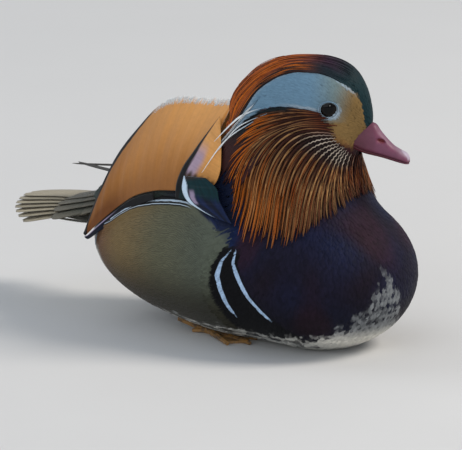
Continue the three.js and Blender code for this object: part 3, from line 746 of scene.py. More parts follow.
# Middle, half width and colour of each line along the flank's upper edge
EDGE_LINES = [
    (-1.2, 1.2, BLACK), (0.45, 0.4, EDGE_BLUE), (1.3, 0.42, BLACK), (1.95, 0.16, EDGE_BLUE), (2.5, 0.3, BLACK),
]


def body_lines(look, colour):
    """The wavy fine lines of the flank, its black and white edging and the two white shoulder bars."""
    under_edge, *bars = look.parts(look.attribute("marks", "Vector"))
    x = look.parts(look.place)[0]
    wave = look.noise(260, 3)
    broad = look.noise(60, 2)
    phase = (under_edge + (wave * 3.2 + broad * 5.0)) * (math.tau / FINE_LINE_GAP)
    on_flank = look.band(under_edge, 32.0, 28.5, 2.0) * look.band(x, -0.022, 0.062, 0.006)
    fine = look.ramp(phase.worked("SINE") * 0.5 + 0.5, (0.35, 0.0), (0.85, 0.34))
    colour = look.over(colour, BLACK * 1.6, fine * on_flank)
    behind = look.band(x, -0.040, 0.062, 0.004)
    wobble = (wave - 0.5) * 0.7
    edge = under_edge + wobble
    for middle, half, above in EDGE_LINES:
        colour = look.over(colour, above, look.band(edge, middle, half, 0.16) * behind)
    for bar in bars:
        colour = look.over(colour, BAR_WHITE, look.band(bar + wobble, 0.0, BAR_HALF, 0.25))
    return colour


def feather_material(name, roughness=0.62, sheen=0.08, barbs=34.0, slant=1.2, depth_of_barbs=0.35,
                     variety=0.22, specular=0.14, lined=False):
    """Colour from the tint, broken by barbs that run out and towards the tip, and by soft variation."""
    look = Look(name, Sheen_Weight=sheen, Sheen_Roughness=0.4, Specular_IOR_Level=specular)
    along, across, chance = look.parts(look.attribute("vane", "Vector"))
    spread = across.worked("ABSOLUTE") * (slant / 10)
    barb = ((along - spread) * (barbs * math.tau) + chance * 40.0).worked("SINE")
    soft = look.noise(420, 4)
    fine = look.noise(2600, 2)
    varied_by = (soft - 0.5) * (variety * 2) + (fine - 0.5) * variety + (chance - 0.5) * variety
    colour = look.attribute("tint", "Color")
    if lined:
        colour = body_lines(look, colour)
    look.coloured(colour, varied_by + barb * (depth_of_barbs * 0.12) + 1.0)
    look.shade("Roughness", fine * 0.2 + (roughness - 0.1))
    look.bump(barb * 0.5 + fine, depth_of_barbs, 0.0003)
    return look.material


PLUME = feather_material("close_feathers", lined=True, depth_of_barbs=0.2, variety=0.16)
VELVET = feather_material("velvet_breast_feathers", lined=True, sheen=0.02, depth_of_barbs=0.1, variety=0.35,
                          specular=0.08)
THROAT = feather_material("throat_feathers", variety=0.2)
FINE = feather_material("fine_head_feathers", roughness=0.6, sheen=0.05, barbs=5, depth_of_barbs=0.1,
                        variety=0.12)
SILK = feather_material("long_silky_feathers", roughness=0.5, sheen=0.02, barbs=16, depth_of_barbs=0.25,
                        variety=0.25, specular=0.12)
GLOSSY = feather_material("glossy_wing_feathers", roughness=0.42, sheen=0.05, barbs=60, slant=2.5,
                          depth_of_barbs=0.4, variety=0.18, specular=0.22)
SAIL_FEATHER = feather_material("sail_feather", roughness=0.5, sheen=0.1, barbs=2, slant=0,
                                depth_of_barbs=0.1, variety=0.1, specular=0.15)


def eye_material():
    look = Look("wet_dark_eye", Roughness=0.05, Specular_IOR_Level=0.15)
    look.coloured(look.attribute("tint", "Color"), look.noise(900, 3) * 0.8 + 0.6)
    return look.material


def lid_material():
    look = Look("lid_skin", Roughness=0.5)
    grain = look.noise(2200, 3)
    look.coloured(look.attribute("tint", "Color"), grain * 0.5 + 0.75)
    look.bump(grain, 0.4, 0.0002)
    return look.material


def horn_material():
    look = Look("rose_horn", Specular_IOR_Level=0.35)
    cloud = look.noise(240, 5)
    grain = look.noise(1900, 3)
    look.coloured(look.attribute("tint", "Color"), cloud * 0.5 + 0.62 + grain * 0.25)
    look.shade("Roughness", grain * 0.25 + 0.36)
    look.bump(cloud + grain * 0.5, 0.25, 0.0003)
    return look.material


def foot_material():
    look = Look("scaled_foot")
    cells = look.node("TexVoronoi")
    cells.inputs["Scale"].default_value = 900
    look.feed(cells.inputs["Vector"], look.place)
    soft = look.noise(300, 4)
    look.shade("Base Color", look.over((*FOOT_OCHRE, 1), FOOT_WEB, look.ramp(soft, (0.4, 0.0), (0.65, 1.0))))
    look.shade("Roughness", soft * 0.3 + 0.4)
    look.bump(Wire(look, cells.outputs["Distance"]), 0.5, 0.0004)
    return look.material


def floor_material():
    look = Look("pale_floor", Roughness=0.7)
    look.shade("Base Color", look.noise(6, 3) * 0.04 + 0.62)
    return look.material


# The skin under the coat

SKIN_LEVEL = -1.4
FACE_LEVEL = 1.15
SKIN_STEP = 2.0
# Painted shade: the body's skin, seen in the gaps between feathers, is darkened to this share of its markings.
SKIN_SHADE = 0.6
SEEDS = 150000
SKIN_LOW, SKIN_HIGH = (-118, -62, -3), (104, 62, 168)


def skin_field(p):
    """Deep under the long feathers, shallow under the short ones of the face and crown."""
    h = to_head(p)
    head = smooth(3, -3, head_depth(p) - body_depth(p)) * smooth(-2, 2, h[..., 2] - line(BAND_LOW, h[..., 0]))
    return np.maximum(depth(p) - SKIN_LEVEL - FACE_LEVEL * head, FLOOR + 0.2 - p[..., 2])


skin_points, skin_quads = surface_nets(skin_field, SKIN_LOW, SKIN_HIGH, SKIN_STEP)
skin_on_head = head_depth(skin_points) < body_depth(skin_points)
skin_tint = colours(skin_points) * np.where(skin_on_head, 1.0, SKIN_SHADE)[:, None]
make_piece("skin", skin_points, skin_quads, (), PLUME, "body_plumage", ("torso", "neck", "head"), skin_tint,
           np.zeros((len(skin_points), 3)), unwrap(skin_points, BODY_UNWRAP), True)


def sample(number):
    """Where feathers can grow: points spread over the skin, brought out to the plumage."""
    a, b, c, d = (skin_points[skin_quads[:, i]] for i in range(4))
    area = np.linalg.norm(np.cross(c - a, d - b), axis=1)
    pick = rng.choice(len(area), number, p=area / area.sum())
    s, t = rng.random((2, number, 1))
    p = (a[pick] * (1 - s) + b[pick] * s) * (1 - t) + (d[pick] * (1 - s) + c[pick] * s) * t
    return settle(p)


seeds, seed_out = sample(SEEDS)


def lie(p, out):
    """The way feathers point: back and down the body, away from the bill over the head."""
    h = to_head(p)
    away = h - np.array([23, 0, -13.0])
    away[..., 1] *= 0.7
    back = smooth(4, -26, h[..., 0])
    head_way = unit(away) * (1 - 0.5 * back)[..., None] + np.array([-0.9, 0, -0.35]) * (0.5 * back)[..., None]
    share = smooth(-25, 55, p[..., 0])[..., None]
    body_way = unit(p - NECK_ROOT) * share + np.array([-1.0, 0, -0.12]) * (1.12 - share)
    head = smooth(3, -3, head_depth(p) - body_depth(p))
    return flat(mix(unit(body_way), head_way @ HEAD_AXES.T, head), out)


# Sections of feathers: places across and over the vane
SQUARE = np.array([(-1, 0), (0, 1), (1, 0), (0, -1.0)])
TRIANGLE = np.array([(-1, -0.35), (0, 1), (1, -0.35)])
LOCK_SECTION = np.array([(-1, 0), (-0.62, 0.5), (-0.22, 0.9), (0.22, 0.9), (0.62, 0.5), (1, 0), (0, -0.7)])
LONG_SECTION = np.array([(-1, 0), (-0.4, 0.8), (0, 1), (0.4, 0.8), (1, 0), (0, -0.7)])


def vane_places(rings, t, section):
    """Where each point of the rings is along and across its feather."""
    shape = rings.shape[:3]
    return np.broadcast_to(t[None, :, None], shape), np.broadcast_to(section[:, 0], shape)


def blades(roots, way, length, width, lift, base=0.0, stations=(0.02, 0.35, 0.72, 1.0),
           shape=(0.45, 0.95, 1.0, 0.25), thick=0.16, cup=0.25, section=SQUARE):
    """Small feathers that keep to the plumage as it curves, rising by lift towards their tips."""
    count = len(roots)
    length, width = np.broadcast_to(length, count), np.broadcast_to(width, count)
    t = np.array(stations)
    p, w = roots, way
    last = 0.0
    rings, soft = [], []
    for s, k in zip(t, shape):
        p, n = settle(p + w * (length * (s - last))[:, None], base + lift * s ** 1.5, 2)
        w = flat(w, n)
        last = s
        across = np.cross(w, n)
        soft.append(unit(n[:, None] + across[:, None] * (0.3 * section[None, :, :1])))
        ring = []
        for a, b in section:
            raised = b * thick * (0.4 + 0.6 * min(k, 1)) - cup * abs(a) * k * width * 0.28
            ring.append(p + across * (a * k * width / 2)[:, None] + n * raised[:, None])
        rings.append(np.stack(ring, 1))
    rings = np.stack(rings, 1)
    return rings, *vane_places(rings, t, section), np.stack(soft, 1)


def varied(count, share):
    return 1 + share * (rng.random(count) * 2 - 1)


def sway(way, out, amount):
    """Turns each feather a little from the lie of its neighbours."""
    a = rng.normal(0, amount, len(way))[:, None]
    return unit(way * np.cos(a) + np.cross(out, way) * np.sin(a))


def short_coat(name, mask, spacing, length, width, lift, material, slot_name, base, shade, chart=BODY_UNWRAP,
               marked=True, longer=0.0, **more):
    """One piece of small feathers, each coloured by the markings where it shows, with painted shade towards its
    root and painted light towards its tip.

    longer is what the length gains from the front of the head to the start of the pale band."""
    coat = Coat(name, chart)
    listed = np.flatnonzero(mask)
    pick = listed[scatter(seeds[listed], spacing)]
    p, n = seeds[pick], seed_out[pick]
    scale = varied(len(pick), 0.18)
    long = (length + longer * smooth(16, BAND_START, to_head(p)[:, 0])) * scale
    up = lift * varied(len(pick), 0.5)
    w = sway(lie(p, n), n, 0.08)
    rings, along, across, soft = blades(p, w, long, width * scale, up, base, **more)
    tint = colours(settle(rings.mean(2).reshape(-1, 3), 0.0, 1)[0]).reshape(rings.shape[:2] + (3,))
    tint = 0.5 * tint + 0.5 * colours(p + w * (long * 0.7)[:, None])[:, None]
    # Painted shade darkens each feather towards its root and painted light brightens its tip, by the share
    # shade.
    tint = tint * (1 - shade + shade * 1.6 * np.linspace(0, 1, tint.shape[1]))[None, :, None]
    rings[..., 2] = np.maximum(rings[..., 2], FLOOR + 0.12)
    coat.add(rings, tint[:, :, None] * (1 - 0.12 * np.abs(across))[..., None], along, across, p, soft)
    return coat.build(material, slot_name, marked=marked)


x_, y_, z_ = seeds.T
seed_head = head_depth(seeds) < body_depth(seeds)
seed_h = to_head(seeds)
hx, _, hz = seed_h.T
band_side = hz - line(BAND_LOW, hx)
# Where the feathers end at the bill: height and X in the head's frame
BILL_EDGE = np.array([
    (-28, 17), (-25, 13), (-22, 11), (-20, 11.2), (-17.4, 13.6), (-14.2, 16.2), (-12.6, 18.2), (-11.4, 22.4),
    (-10, 27),
])
BAND_START = -9
BAND_FOOT = -0.8
open_skin = seed_head & (hx < line(BILL_EDGE, hz)) & (eye_rim(seed_h) > 1.2)
face = open_skin & (band_side > BAND_FOOT)
# Name, where, spacing, length, width, lift and gain in length
FACE_COATS = [
    ("face_feathers", face & (hx > BAND_START), 0.62, 2.5, 1.45, 0.05, 1.0),
    ("band_feathers", face & (hx <= BAND_START), 0.78, 4.6, 1.5, 0.06, 0.0),
]
for *form, longer in FACE_COATS:
    short_coat(*form, FINE, "head_plumage", -0.08, 0.0, HEAD_UNWRAP, False, longer, section=TRIANGLE,
               thick=0.03, cup=0.02)
short_coat("throat_feathers", open_skin & (band_side <= BAND_FOOT), 1.4, 5.0, 1.6, 0.3, THROAT,
           "whisker_plumage", -0.9, 0.1, HEAD_UNWRAP, False)

on_body = ~seed_head & (z_ > FLOOR + 1.0)
line_gap = z_ - line(FLANK_LINE, x_)
under = z_ < BELLY_TOP
sides = on_body & ~under
past_black = x_ > upward(BLACK_REAR, z_) - 2
bars = past_black & (x_ < upward(BAR_LINES[1], z_) + 3) & (z_ < BARS_TOP) & (np.abs(y_) > 18)
front_part = (past_black & (z_ < 64)) | ((x_ > 24) & (z_ >= 60))
shoulder = ~front_part & (line_gap > 0.5) & (x_ > -30)
# Name, where, spacing, length, width, lift, material, slot, base, shade, thickness and cup
BODY_COATS = [
    ("bar_feathers", sides & bars, 1.0, 4.6, 1.9, 0.14, VELVET, "body_plumage", -0.05, 0.1, 0.07, 0.08),
    ("breast_feathers", sides & front_part, 1.25, 5.6, 2.7, 0.14, VELVET, "body_plumage",
     -0.15, 0.05, 0.05, 0.03),
    ("flank_feathers", sides & ~front_part & (line_gap <= 2), 1.35, 7.5, 3.2, 0.16, PLUME, "body_plumage",
     -0.2, 0.06, 0.07, 0.07),
    ("shoulder_feathers", on_body & shoulder, 1.7, 11, 3.8, 0.35, PLUME, "wing_feathers", -0.1, 0.1, 0.08, 0.1),
    ("back_feathers", sides & ~front_part & (line_gap > 2) & ~shoulder, 2.1, 10, 5.0, 0.5, PLUME,
     "body_plumage", -0.3, 0.1, 0.12, 0.14),
    ("belly_feathers", on_body & under, 2.0, 9, 4.4, 0.3, PLUME, "body_plumage", -0.4, 0.1, 0.1, 0.1),
]
for *form, thick, cup in BODY_COATS:
    short_coat(*form, thick=thick, cup=cup)


def edging(side):
    """The long upper flank feathers that lie over the wing and carry the black and white edge."""
    coat = Coat(named("flank_edging", side), BODY_UNWRAP)
    number = 420
    x = rng.uniform(-84, 14, number)
    row = rng.random(number)
    origin = np.stack([x, 0 * x, TRUNK_LINE + 0 * x], -1)

    def under_line(at):
        z = line(FLANK_LINE, at) - 0.9 - 4.5 * row
        return rays(origin, np.stack([at - x, side * 45.0 + 0 * x, z - TRUNK_LINE], -1))

    p, out = settle(under_line(x))
    way = flat(unit(under_line(x - 2) - p), out)
    rings, along, across, soft = blades(
        p, way, 9.0 * varied(number, 0.15), 2.6, 0.08, 0.02 + 0.6 * (1 - row) ** 2, thick=0.06, cup=0.03,
        stations=(0.02, 0.25, 0.5, 0.75, 1.0), shape=(0.4, 0.9, 1.0, 0.9, 0.3))
    coat.add(rings, colours(rings), along, across, p, soft)
    return coat.build(PLUME, "body_plumage", marked=True)


for side in SIDES:
    edging(side)


# Long feathers that follow a path over the plumage: whiskers, hackles and crest

# How far along a whisker its middle place is
WHISKER_MIDDLE = 0.45
CRIMP_LENGTH = 3.0


def path_frame(p, out):
    """Directions along, across and up for paths over the plumage."""
    tangent = unit(np.gradient(p, axis=1))
    across = unit(np.cross(tangent, out))
    return across, np.cross(across, tangent)


def strands(starts, ends, first, last, width, rows, level, free=None, thick=0.2, wiggle=None, cup=0.35,
            section=LONG_SECTION, middles=None):
    """Lofts along parts of the ways from starts to ends, kept at a level over the plumage.

    level(t) gives heights and free(t) how far a point leaves the plumage for the straight way."""
    u = np.linspace(0, 1, rows)
    t = u[None] * (last - first)[:, None] + first[:, None]
    straight = starts[:, None] + (ends - starts)[:, None] * t[..., None]
    if middles is not None:
        m = WHISKER_MIDDLE
        from_chord = middles - starts - (ends - starts) * m
        straight = straight + from_chord[:, None] * (t * (1 - t) / (m * (1 - m)))[..., None]
    p, out = settle(straight, level(t), 4)
    if free is not None:
        loose = free(t)[..., None]
        p = p * (1 - loose) + straight * loose
    across, up = path_frame(p, out)
    if wiggle is not None:
        length = np.linalg.norm(ends - starts, axis=1)[:, None]
        p = p + across * (np.sin(t * length * math.tau / CRIMP_LENGTH) * wiggle)[..., None]
    k = spear(u)[None, :, None]
    w = np.broadcast_to(width, len(starts))[:, None, None]
    rings = []
    for a, b in section:
        raised = b * thick * (0.35 + 0.65 * k) - cup * abs(a) * k * w * 0.3
        rings.append(p + across * (a * k * w / 2) + up * raised)
    rings = np.stack(rings, 2)
    return rings, *vane_places(rings, u, section), t


def spear(u):
    """Width of a long narrow feather along its length."""
    return np.clip(0.35 + 1.2 * u, 0, 1) * np.clip((1.02 - u) * 2.2, 0.06, 1) ** 0.8


def neck_sided(p, side):
    """Mirrors a place of the neck to the other side, in the axes of the neck."""
    return NECK_AT + sided((p - NECK_AT) @ NECK_AXES, -side) @ NECK_AXES.T


# Places of the cape's lines, from behind the eye round to the chin: in the head's frame, then in the body's
WHISKER_ROOTS = [
    (-7.3, -16.1, -1.2), (-6.1, -16.4, -3.2), (-5, -16.8, -5.4), (-3.9, -17.3, -7.3), (-2.8, -17.6, -9.5),
    (-1.7, -17.9, -12.4), (0.2, -17.6, -15.4), (2.6, -16.2, -18.6), (4.6, -14.6, -20.9), (6.3, -13, -22.8),
    (7.6, -11, -25.1), (10, -7, -26.8), (13.5, 0, -28),
]
WHISKER_MIDS = [
    (39, -21.4, 133.8), (37, -24.3, 128.7), (35, -28.9, 122), (31, -33, 117.5), (36.5, -32, 115),
    (43, -31, 111.6), (49.7, -29.9, 107.6), (55.7, -26.9, 104.7), (60.6, -22.6, 102), (64, -17.5, 99.7),
    (66, -11.5, 99.7), (67.3, -4.5, 99), (67, 4.3, 99),
]
WHISKER_TIPS = [
    (24.5, -27.8, 130.5), (18, -34, 119), (14.3, -38.3, 104), (17, -42, 80), (30, -47, 68.5),
    (39.4, -46.3, 66.2), (48.8, -44, 66.3), (55.5, -40.9, 67.6), (61, -35, 71.3), (67.3, -24.2, 77),
    (69.3, -13, 82.5), (70.5, -3, 86), (70.3, 5, 87.5),
]
HACKLE_ROOTS = [(-15, -15, -5), (-26, -14, -6), (-36, -11, -9), (-42, -6, -14)]
HACKLE_TIPS = [(16, -40, 86), (9, -37, 91), (4, -32, 96), (3, -22, 98)]
LOCKS = 46
# First and last part of the way, height and offset of each layer of the cape
CAPE_LAYERS = [
    (0.4, 0.97, 0.0, 0.5), (0.46, 1.0, 0.3, 0.0), (0.32, 0.84, 0.5, 0.0), (0.18, 0.66, 0.75, 0.0),
    (0.07, 0.48, 0.95, 0.0), (-0.02, 0.34, 1.1, 0.0), (-0.07, 0.22, 1.25, 0.0),
]


def whisker_ways(s, side):
    """Root, tip and middle places of the cape's lines; s runs from behind the eye round to the chin."""
    roots = from_head(sided(curve(WHISKER_ROOTS, s), -side))
    return roots, neck_sided(curve(WHISKER_TIPS, s), side), neck_sided(curve(WHISKER_MIDS, s), side)


def cape_colour(s, t):
    """Dark by the cheek, bright at the rear tips, and purple brown where the front tips meet the breast."""
    return layered(
        WHISKER,
        (WHISKER_DARK, smooth(0.75, 0.25, t) * smooth(0.6, 0.3, s) * 0.8),
        (WHISKER_DARK, smooth(0.4, 0.75, s) * 0.55),
        (WHISKER_BRIGHT, smooth(0.65, 0.3, s) * smooth(0.5, 0.85, t) * 0.85),
        (BREAST_RED, smooth(0.55, 0.8, s) * smooth(0.55, 0.95, t) * 0.7))


def whiskers(side):
    """The cape: narrow pointed feathers in layers, their shafts in line from the cheek to the breast."""
    coat = Coat(named("whiskers", side), BODY_UNWRAP)
    common = rng.normal(0, 0.08, LOCKS)
    rows = 20
    for first, last, level, offset in CAPE_LAYERS:
        s = (np.arange(LOCKS) + offset + common) / (LOCKS - 1)
        starts, ends, middles = whisker_ways(s, side)
        a = first + rng.normal(0, 0.025, LOCKS)
        b = np.minimum(last + rng.normal(0, 0.04, LOCKS), 1.04)
        way = np.linspace(a, b, rows).T
        s = s[:, None]
        fine = smooth(0.34, 0.5, s) * smooth(0.97, 0.85, s)
        width = 3.9 * (0.32 + 0.74 * way.mean(1)) * varied(LOCKS, 0.12)
        crimp = 0.3 * fine * smooth(0.34, 0.18, way)
        rings, along, across, t = strands(
            starts, ends, a, b, width, rows, lambda t: level + 0.4 * t, wiggle=crimp, thick=0.16, cup=0.5,
            section=LOCK_SECTION, middles=middles)
        rust = cape_colour(s, t)
        cream = (0.45 + 0.55 * smooth(0.02, 0.4, s)) * smooth(1.0, 0.8, s)
        # Painted shade: NIGHT darkens the outer parts of the first locks behind the eye.
        shade = smooth(0.07, 0.0, s) * smooth(0.25, 0.5, t)
        # Each lock's dark edges are partly painted shade for the gaps between locks and partly its own black
        # fine lines near the roots.
        edge = layered(
            rust * 0.25,
            (MAROON * 0.35, 0.5),
            (BLACK, fine * smooth(0.45, 0.15, t) * 0.8),
            (NIGHT, shade))
        shaft = layered(
            rust * 1.05,
            (SHAFT, 0.62 * cream * smooth(1.3, 0.7, t) * smooth(-0.05, 0.25, t)),
            (SHAFT_WHITE, fine * smooth(0.36, 0.16, t) * 0.7),
            (NIGHT, shade))
        line_at = np.clip(smooth(0.4, 0.1, np.abs(across)) + 0.1 * smooth(0.7, 1.0, along), 0, 1)
        line_at = line_at * (1.0 if offset == 0 else 0.2)
        pale_line = (np.arange(LOCKS) % 2 == 0)[:, None, None]
        line_at = line_at * np.where(pale_line, 1.0, 0.8 * smooth(0.35, 0.7, t)[:, :, None])
        tint = mix(edge[:, :, None], shaft[:, :, None], line_at) * varied(LOCKS, 0.22)[:, None, None, None]
        coat.add(rings, tint, along, across, starts)
    for first, last, number in ((0.55, 1.02, 120), (0.25, 0.75, 40)):
        s = 0.04 + 0.96 * rng.random(number) ** 0.9
        starts, ends, middles = whisker_ways(s, side)
        a = first + rng.random(number) * 0.3
        b = np.minimum(a + 0.2 + 0.15 * rng.random(number), last + 0.04 * rng.random(number))
        rings, along, across, t = strands(starts, ends, a, b, 0.75, 8, lambda t: 0.9 + 0.3 * t, thick=0.14,
                                          section=TRIANGLE, middles=middles)
        s = s[:, None]
        rust = mix(cape_colour(s, t) * 0.75, SHAFT, rng.random((number, 1)) * 0.15 * smooth(0.1, 0.4, s))
        coat.add(rings, rust[:, :, None] * varied(number, 0.3)[:, None, None, None], along, across, starts)
    number = 150
    s = rng.random(number)
    starts = from_head(sided(curve(HACKLE_ROOTS, s), -side))
    ends = neck_sided(curve(HACKLE_TIPS, s), side)
    a = rng.random(number) * 0.5
    b = np.minimum(a + 0.5 + 0.1 * rng.random(number), 1.0 + 0.02 * rng.random(number))
    width = 2.2 * varied(number, 0.2)
    rings, along, across, t = strands(starts, ends, a, b, width, 12, lambda t: 0.3 + 0.6 * t)
    dark = mix(NIGHT, MAROON, smooth(0.1, 0.7, t) * 0.7)
    coat.add(rings, dark[:, :, None] * (1.3 - 0.7 * np.abs(across))[..., None], along, across, starts)
    return coat.build(SILK, "whisker_plumage")


for side in SIDES:
    whiskers(side)


# Side view of the crown: its edge over the pale band and its own top line, both from front to back.
CREST_EDGE = [
    (10, 11, 13), (-2, 13, 20), (-14, 13.5, 21.6), (-24, 13, 20), (-33, 12.5, 15), (-41, 11.5, 8),
    (-48, 10, -2), (-54, 8, -12), (-58, 5, -20),
]
CREST_TOP = [
    (14, 0.4, 19), (4, 0.4, 24.4), (-8, 0.4, 26.6), (-19, 0.4, 26), (-29, 0.4, 22.7), (-39, 0.4, 16.7),
    (-48, 0.4, 8.6), (-54.5, 0.4, -1.5), (-58.5, 0.4, -12),
]
CREST_FRINGE = [(-40, 12.5, 4), (-46, 10, -4), (-52, 8, -11)]


def crest(side):
    """Long strands from the crown back over the nape, and loose pale ones under them."""
    coat = Coat(named("crest", side), HEAD_UNWRAP)
    rows, count = 12, 900
    u = np.linspace(0, 1, rows)
    q = rng.random(count)
    a = rng.random(count) ** 0.8 * 0.86 - 0.04
    long = 0.15 + 0.17 * rng.random(count) + 0.14 * smooth(0.2, 0.6, a)
    b = np.minimum(a + long, 1.0 + 0.03 * rng.random(count))
    w = u[None] * (b - a)[:, None] + a[:, None]
    edge, top = curve(CREST_EDGE, w), curve(CREST_TOP, w)
    p = edge + (top - edge) * q[:, None, None]
    p[..., 1] = edge[..., 1] * np.sqrt(np.clip(1 - q[:, None] ** 2, 0, 1)) + 0.4
    p = from_head(sided(p, side))
    height = (0.05 + 0.4 * rng.random(count))[:, None] + 0.15 * u[None]
    kept, out = settle(p, height * smooth(-0.12, 0.25, w) - 0.3 * smooth(0.12, -0.02, w), 3)
    loose = smooth(0.94, 1.02, w)[..., None]
    p = kept * (1 - loose) + p * loose
    across_way, up = path_frame(p, out)
    k = spear(u)[None, :, None]
    wide = (1.15 * varied(count, 0.3))[:, None, None]
    rings = np.stack([p + across_way * (c * k * wide / 2) + up * (d * 0.18 - 0.1 * abs(c) * k * wide)
                      for c, d in LONG_SECTION], 2)
    along, across = vane_places(rings, u, LONG_SECTION)
    back = smooth(-6, -20, to_head(p)[..., 0])
    crown = layered(
        crest_colour(p),
        (RUST_DARK * 0.6, 0.8 * (rng.random(count) < 0.24 + 0.2 * (q < 0.25))[:, None] * back),
        (WHISKER_BRIGHT, 0.5 * (rng.random(count) < 0.3)[:, None] * back))
    lightness = varied(count, 0.32)[:, None, None, None]
    tint = crown[:, :, None] * (1.2 - 0.6 * np.abs(across))[..., None] * lightness
    coat.add(rings, tint, along, across, p[:, 0])
    number = 60
    q = rng.random((2, number))[0]
    low = curve(CREST_FRINGE, q)
    ends = low + np.array([-12, -2.5, -15.0]) * (0.6 + 0.6 * rng.random(number))[:, None]
    starts = from_head(sided(low + np.array([1, 0.5, 0.8]), side))
    rings, along, across, t = strands(starts, from_head(sided(ends, side)), 0 * q, 0 * q + 1, 1.0, 10,
                                      lambda t: 0.4 + 0 * t, lambda t: smooth(0.45, 0.95, t))
    dark = (rng.random(number) < 0.35) & (q > 0.45)
    pale = np.where(dark[:, None, None], NIGHT, mix(BAND, WHITE, smooth(0.2, 0.7, t)))
    coat.add(rings, pale[:, :, None] * (1.1 - 0.3 * np.abs(across))[..., None], along, across, starts)
    coat.build(SILK, "head_plumage")


for side in SIDES:
    crest(side)


# Large vanes: plumes, tail, wings and sails

def vane(path, up, half, camber=0.12, thick=0.7, ridge=0.35, rows=18, points=9, roll=0.0):
    """A broad feather along a path of places; half(u) gives its half width."""
    u = np.linspace(0, 1, rows)
    p = curve(path, u)
    tangent = unit(np.gradient(p, axis=0))
    across = unit(np.cross(tangent, up))
    raised = np.cross(across, tangent)
    a = math.radians(roll)
    across, raised = across * math.cos(a) + raised * math.sin(a), raised * math.cos(a) - across * math.sin(a)
    s = np.linspace(-1, 1, points)
    wide = half(u)[:, None]
    top = p[:, None] + across[:, None] * (s[None] * wide)[..., None]
    bend = -camber * s[None] ** 2 * wide + ridge * np.exp(-(s[None] / 0.09) ** 2)
    body = thick * (0.25 + 0.75 * (1 - s[None] ** 4)) * (0.35 + 0.65 * np.clip(wide / wide.max(), 0, 1))
    upper = top + raised[:, None] * (bend + body / 2)[..., None]
    lower = top + raised[:, None] * (bend - body / 2)[..., None]
    rings = np.concatenate([upper, lower[:, 1:-1][:, ::-1]], 1)
    side = np.concatenate([s, s[1:-1][::-1]])
    return rings, np.broadcast_to(u[:, None], rings.shape[:2]), np.broadcast_to(side[None], rings.shape[:2])


def rounded(width, blunt=6.0, narrow=0.35):
    """Half width along a feather with a rounded tip."""
    def half(u):
        return width / 2 * np.clip(narrow + u * 2.2, 0, 1) * np.clip(1.001 - u ** blunt, 0.0004, 1) ** 0.5
    return half


# Root, middle and tip of each plume in the head's frame, and its width
PLUMES = [
    ((-36, 12.5, -0.6), (-49.5, 10.2, -7.2), (-63.2, 12, -21), 1.25),
    ((-37, 12.8, -6.3), (-57, 12.6, -19), (-69.7, 13, -38.2), 1.15),
    ((-34, 12.9, -4), (-50, 11.8, -12.6), (-61, 12, -26), 0.8),
]


def plumes():
    """The three long white feathers a side behind the eye that hang free of the nape."""
    made = Coat("white_plumes")
    for side in SIDES:
        for *places, width in PLUMES:
            path = from_head(sided(places, side))
            kept, out = settle(path, 0.8)
            path = np.stack([kept[0], kept[1] * 0.6 + path[1] * 0.4 + out[1] * 0.6, path[2]])
            rings, along, across = vane(path, out[1], lambda u: width / 2 * spear(u), thick=0.3, ridge=0.1,
                                        rows=22, points=5)
            made.put(rings, along, across, mix(BAND, WHITE * 1.05, smooth(0.05, 0.45, along)))
    return made.build(SILK, "head_plumage")


def fan(count, spread):
    """The place across a fan of feathers, -1 to 1, and the angle of each."""
    half = (count - 1) / 2
    return [((n - half) / half, math.radians((n - half) / half * spread)) for n in range(count)]


def tail():
    """The tail's main vanes, two rows of coverts over it and one under it."""
    made = Coat("tail_vanes")
    for f, a in fan(14, 25):
        long = 66 - 15 * f * f
        root = np.array([-97 + 2 * abs(f), 9 * f, 61 - 2.6 * abs(f) - 0.3 * abs(f * 6.5)])
        tip = root + np.array([-long * math.cos(a), long * math.sin(a), -6 - 2.5 * f * f])
        rings, along, across = vane([root, (root + tip) / 2 + UP * 1.5, tip], UP, rounded(17, 9, 0.6),
                                    roll=-3 * f, thick=0.35, ridge=0.1, camber=0.03)
        tint = mix(TAIL, TAIL_DARK, 0.5 * smooth(0.6, 0.0, along) + 0.3 * np.abs(across) ** 4)
        made.put(rings, along, across, tint * (0.9 + 0.2 * rng.random()))
    for row, (long, start, high) in enumerate(((44, -86, 66.6), (34, -82, 68.4))):
        for f, a in fan(9, 26):
            root = np.array([start, 13 * f, high - 3.6 * f * f])
            tip = root + np.array([-long * math.cos(a) + 6 * f * f, long * math.sin(a),
                                   -8 - 2 * f * f + 1.6 * row])
            rings, along, across = vane([root, (root + tip) / 2 + UP * 1.2, tip], UP, rounded(17, 5, 0.6),
                                        roll=-9 * f, thick=0.3, ridge=0.08, camber=0.05)
            weight = 0.3 * np.abs(across) ** 2 + 0.6 * smooth(0.2, 1, along)
            made.put(rings, along, across, mix(BACK_GREEN, TAIL_DARK * 1.15, weight))
    for f, a in fan(9, 26):
        root = np.array([-92, 12 * f, 49.5 + 0.5 * abs(f)])
        tip = root + np.array([-40 * math.cos(a) + 8 * f * f, 40 * math.sin(a), 3 - f * f])
        rings, along, across = vane([root, (root + tip) / 2 - UP, tip], UP, rounded(15, 4, 0.5),
                                    roll=9 * f, thick=0.4, ridge=0.12, camber=-0.06)
        made.put(rings, along, across, np.broadcast_to(BELLY * 0.95, rings.shape))
    return made.build(GLOSSY, "tail_feathers", "tail")


# Count, (x, angle) of the upper and lower roots and tips, width, height and the two colours of each tier
WING_TIERS = [
    (8, (-46, 20), (-50, 54), (-90, 20), (-82, 58), 14, 0.2, BACK, BACK_GREEN),
    (8, (-28, 18), (-30, 49), (-68, 16), (-62, 50), 13, 0.5, BACK_GREEN, BACK),
    (7, (-12, 18), (-12, 47), (-46, 16), (-42, 49), 12, 0.8, NAVY_DARK, BACK_GREEN),
]


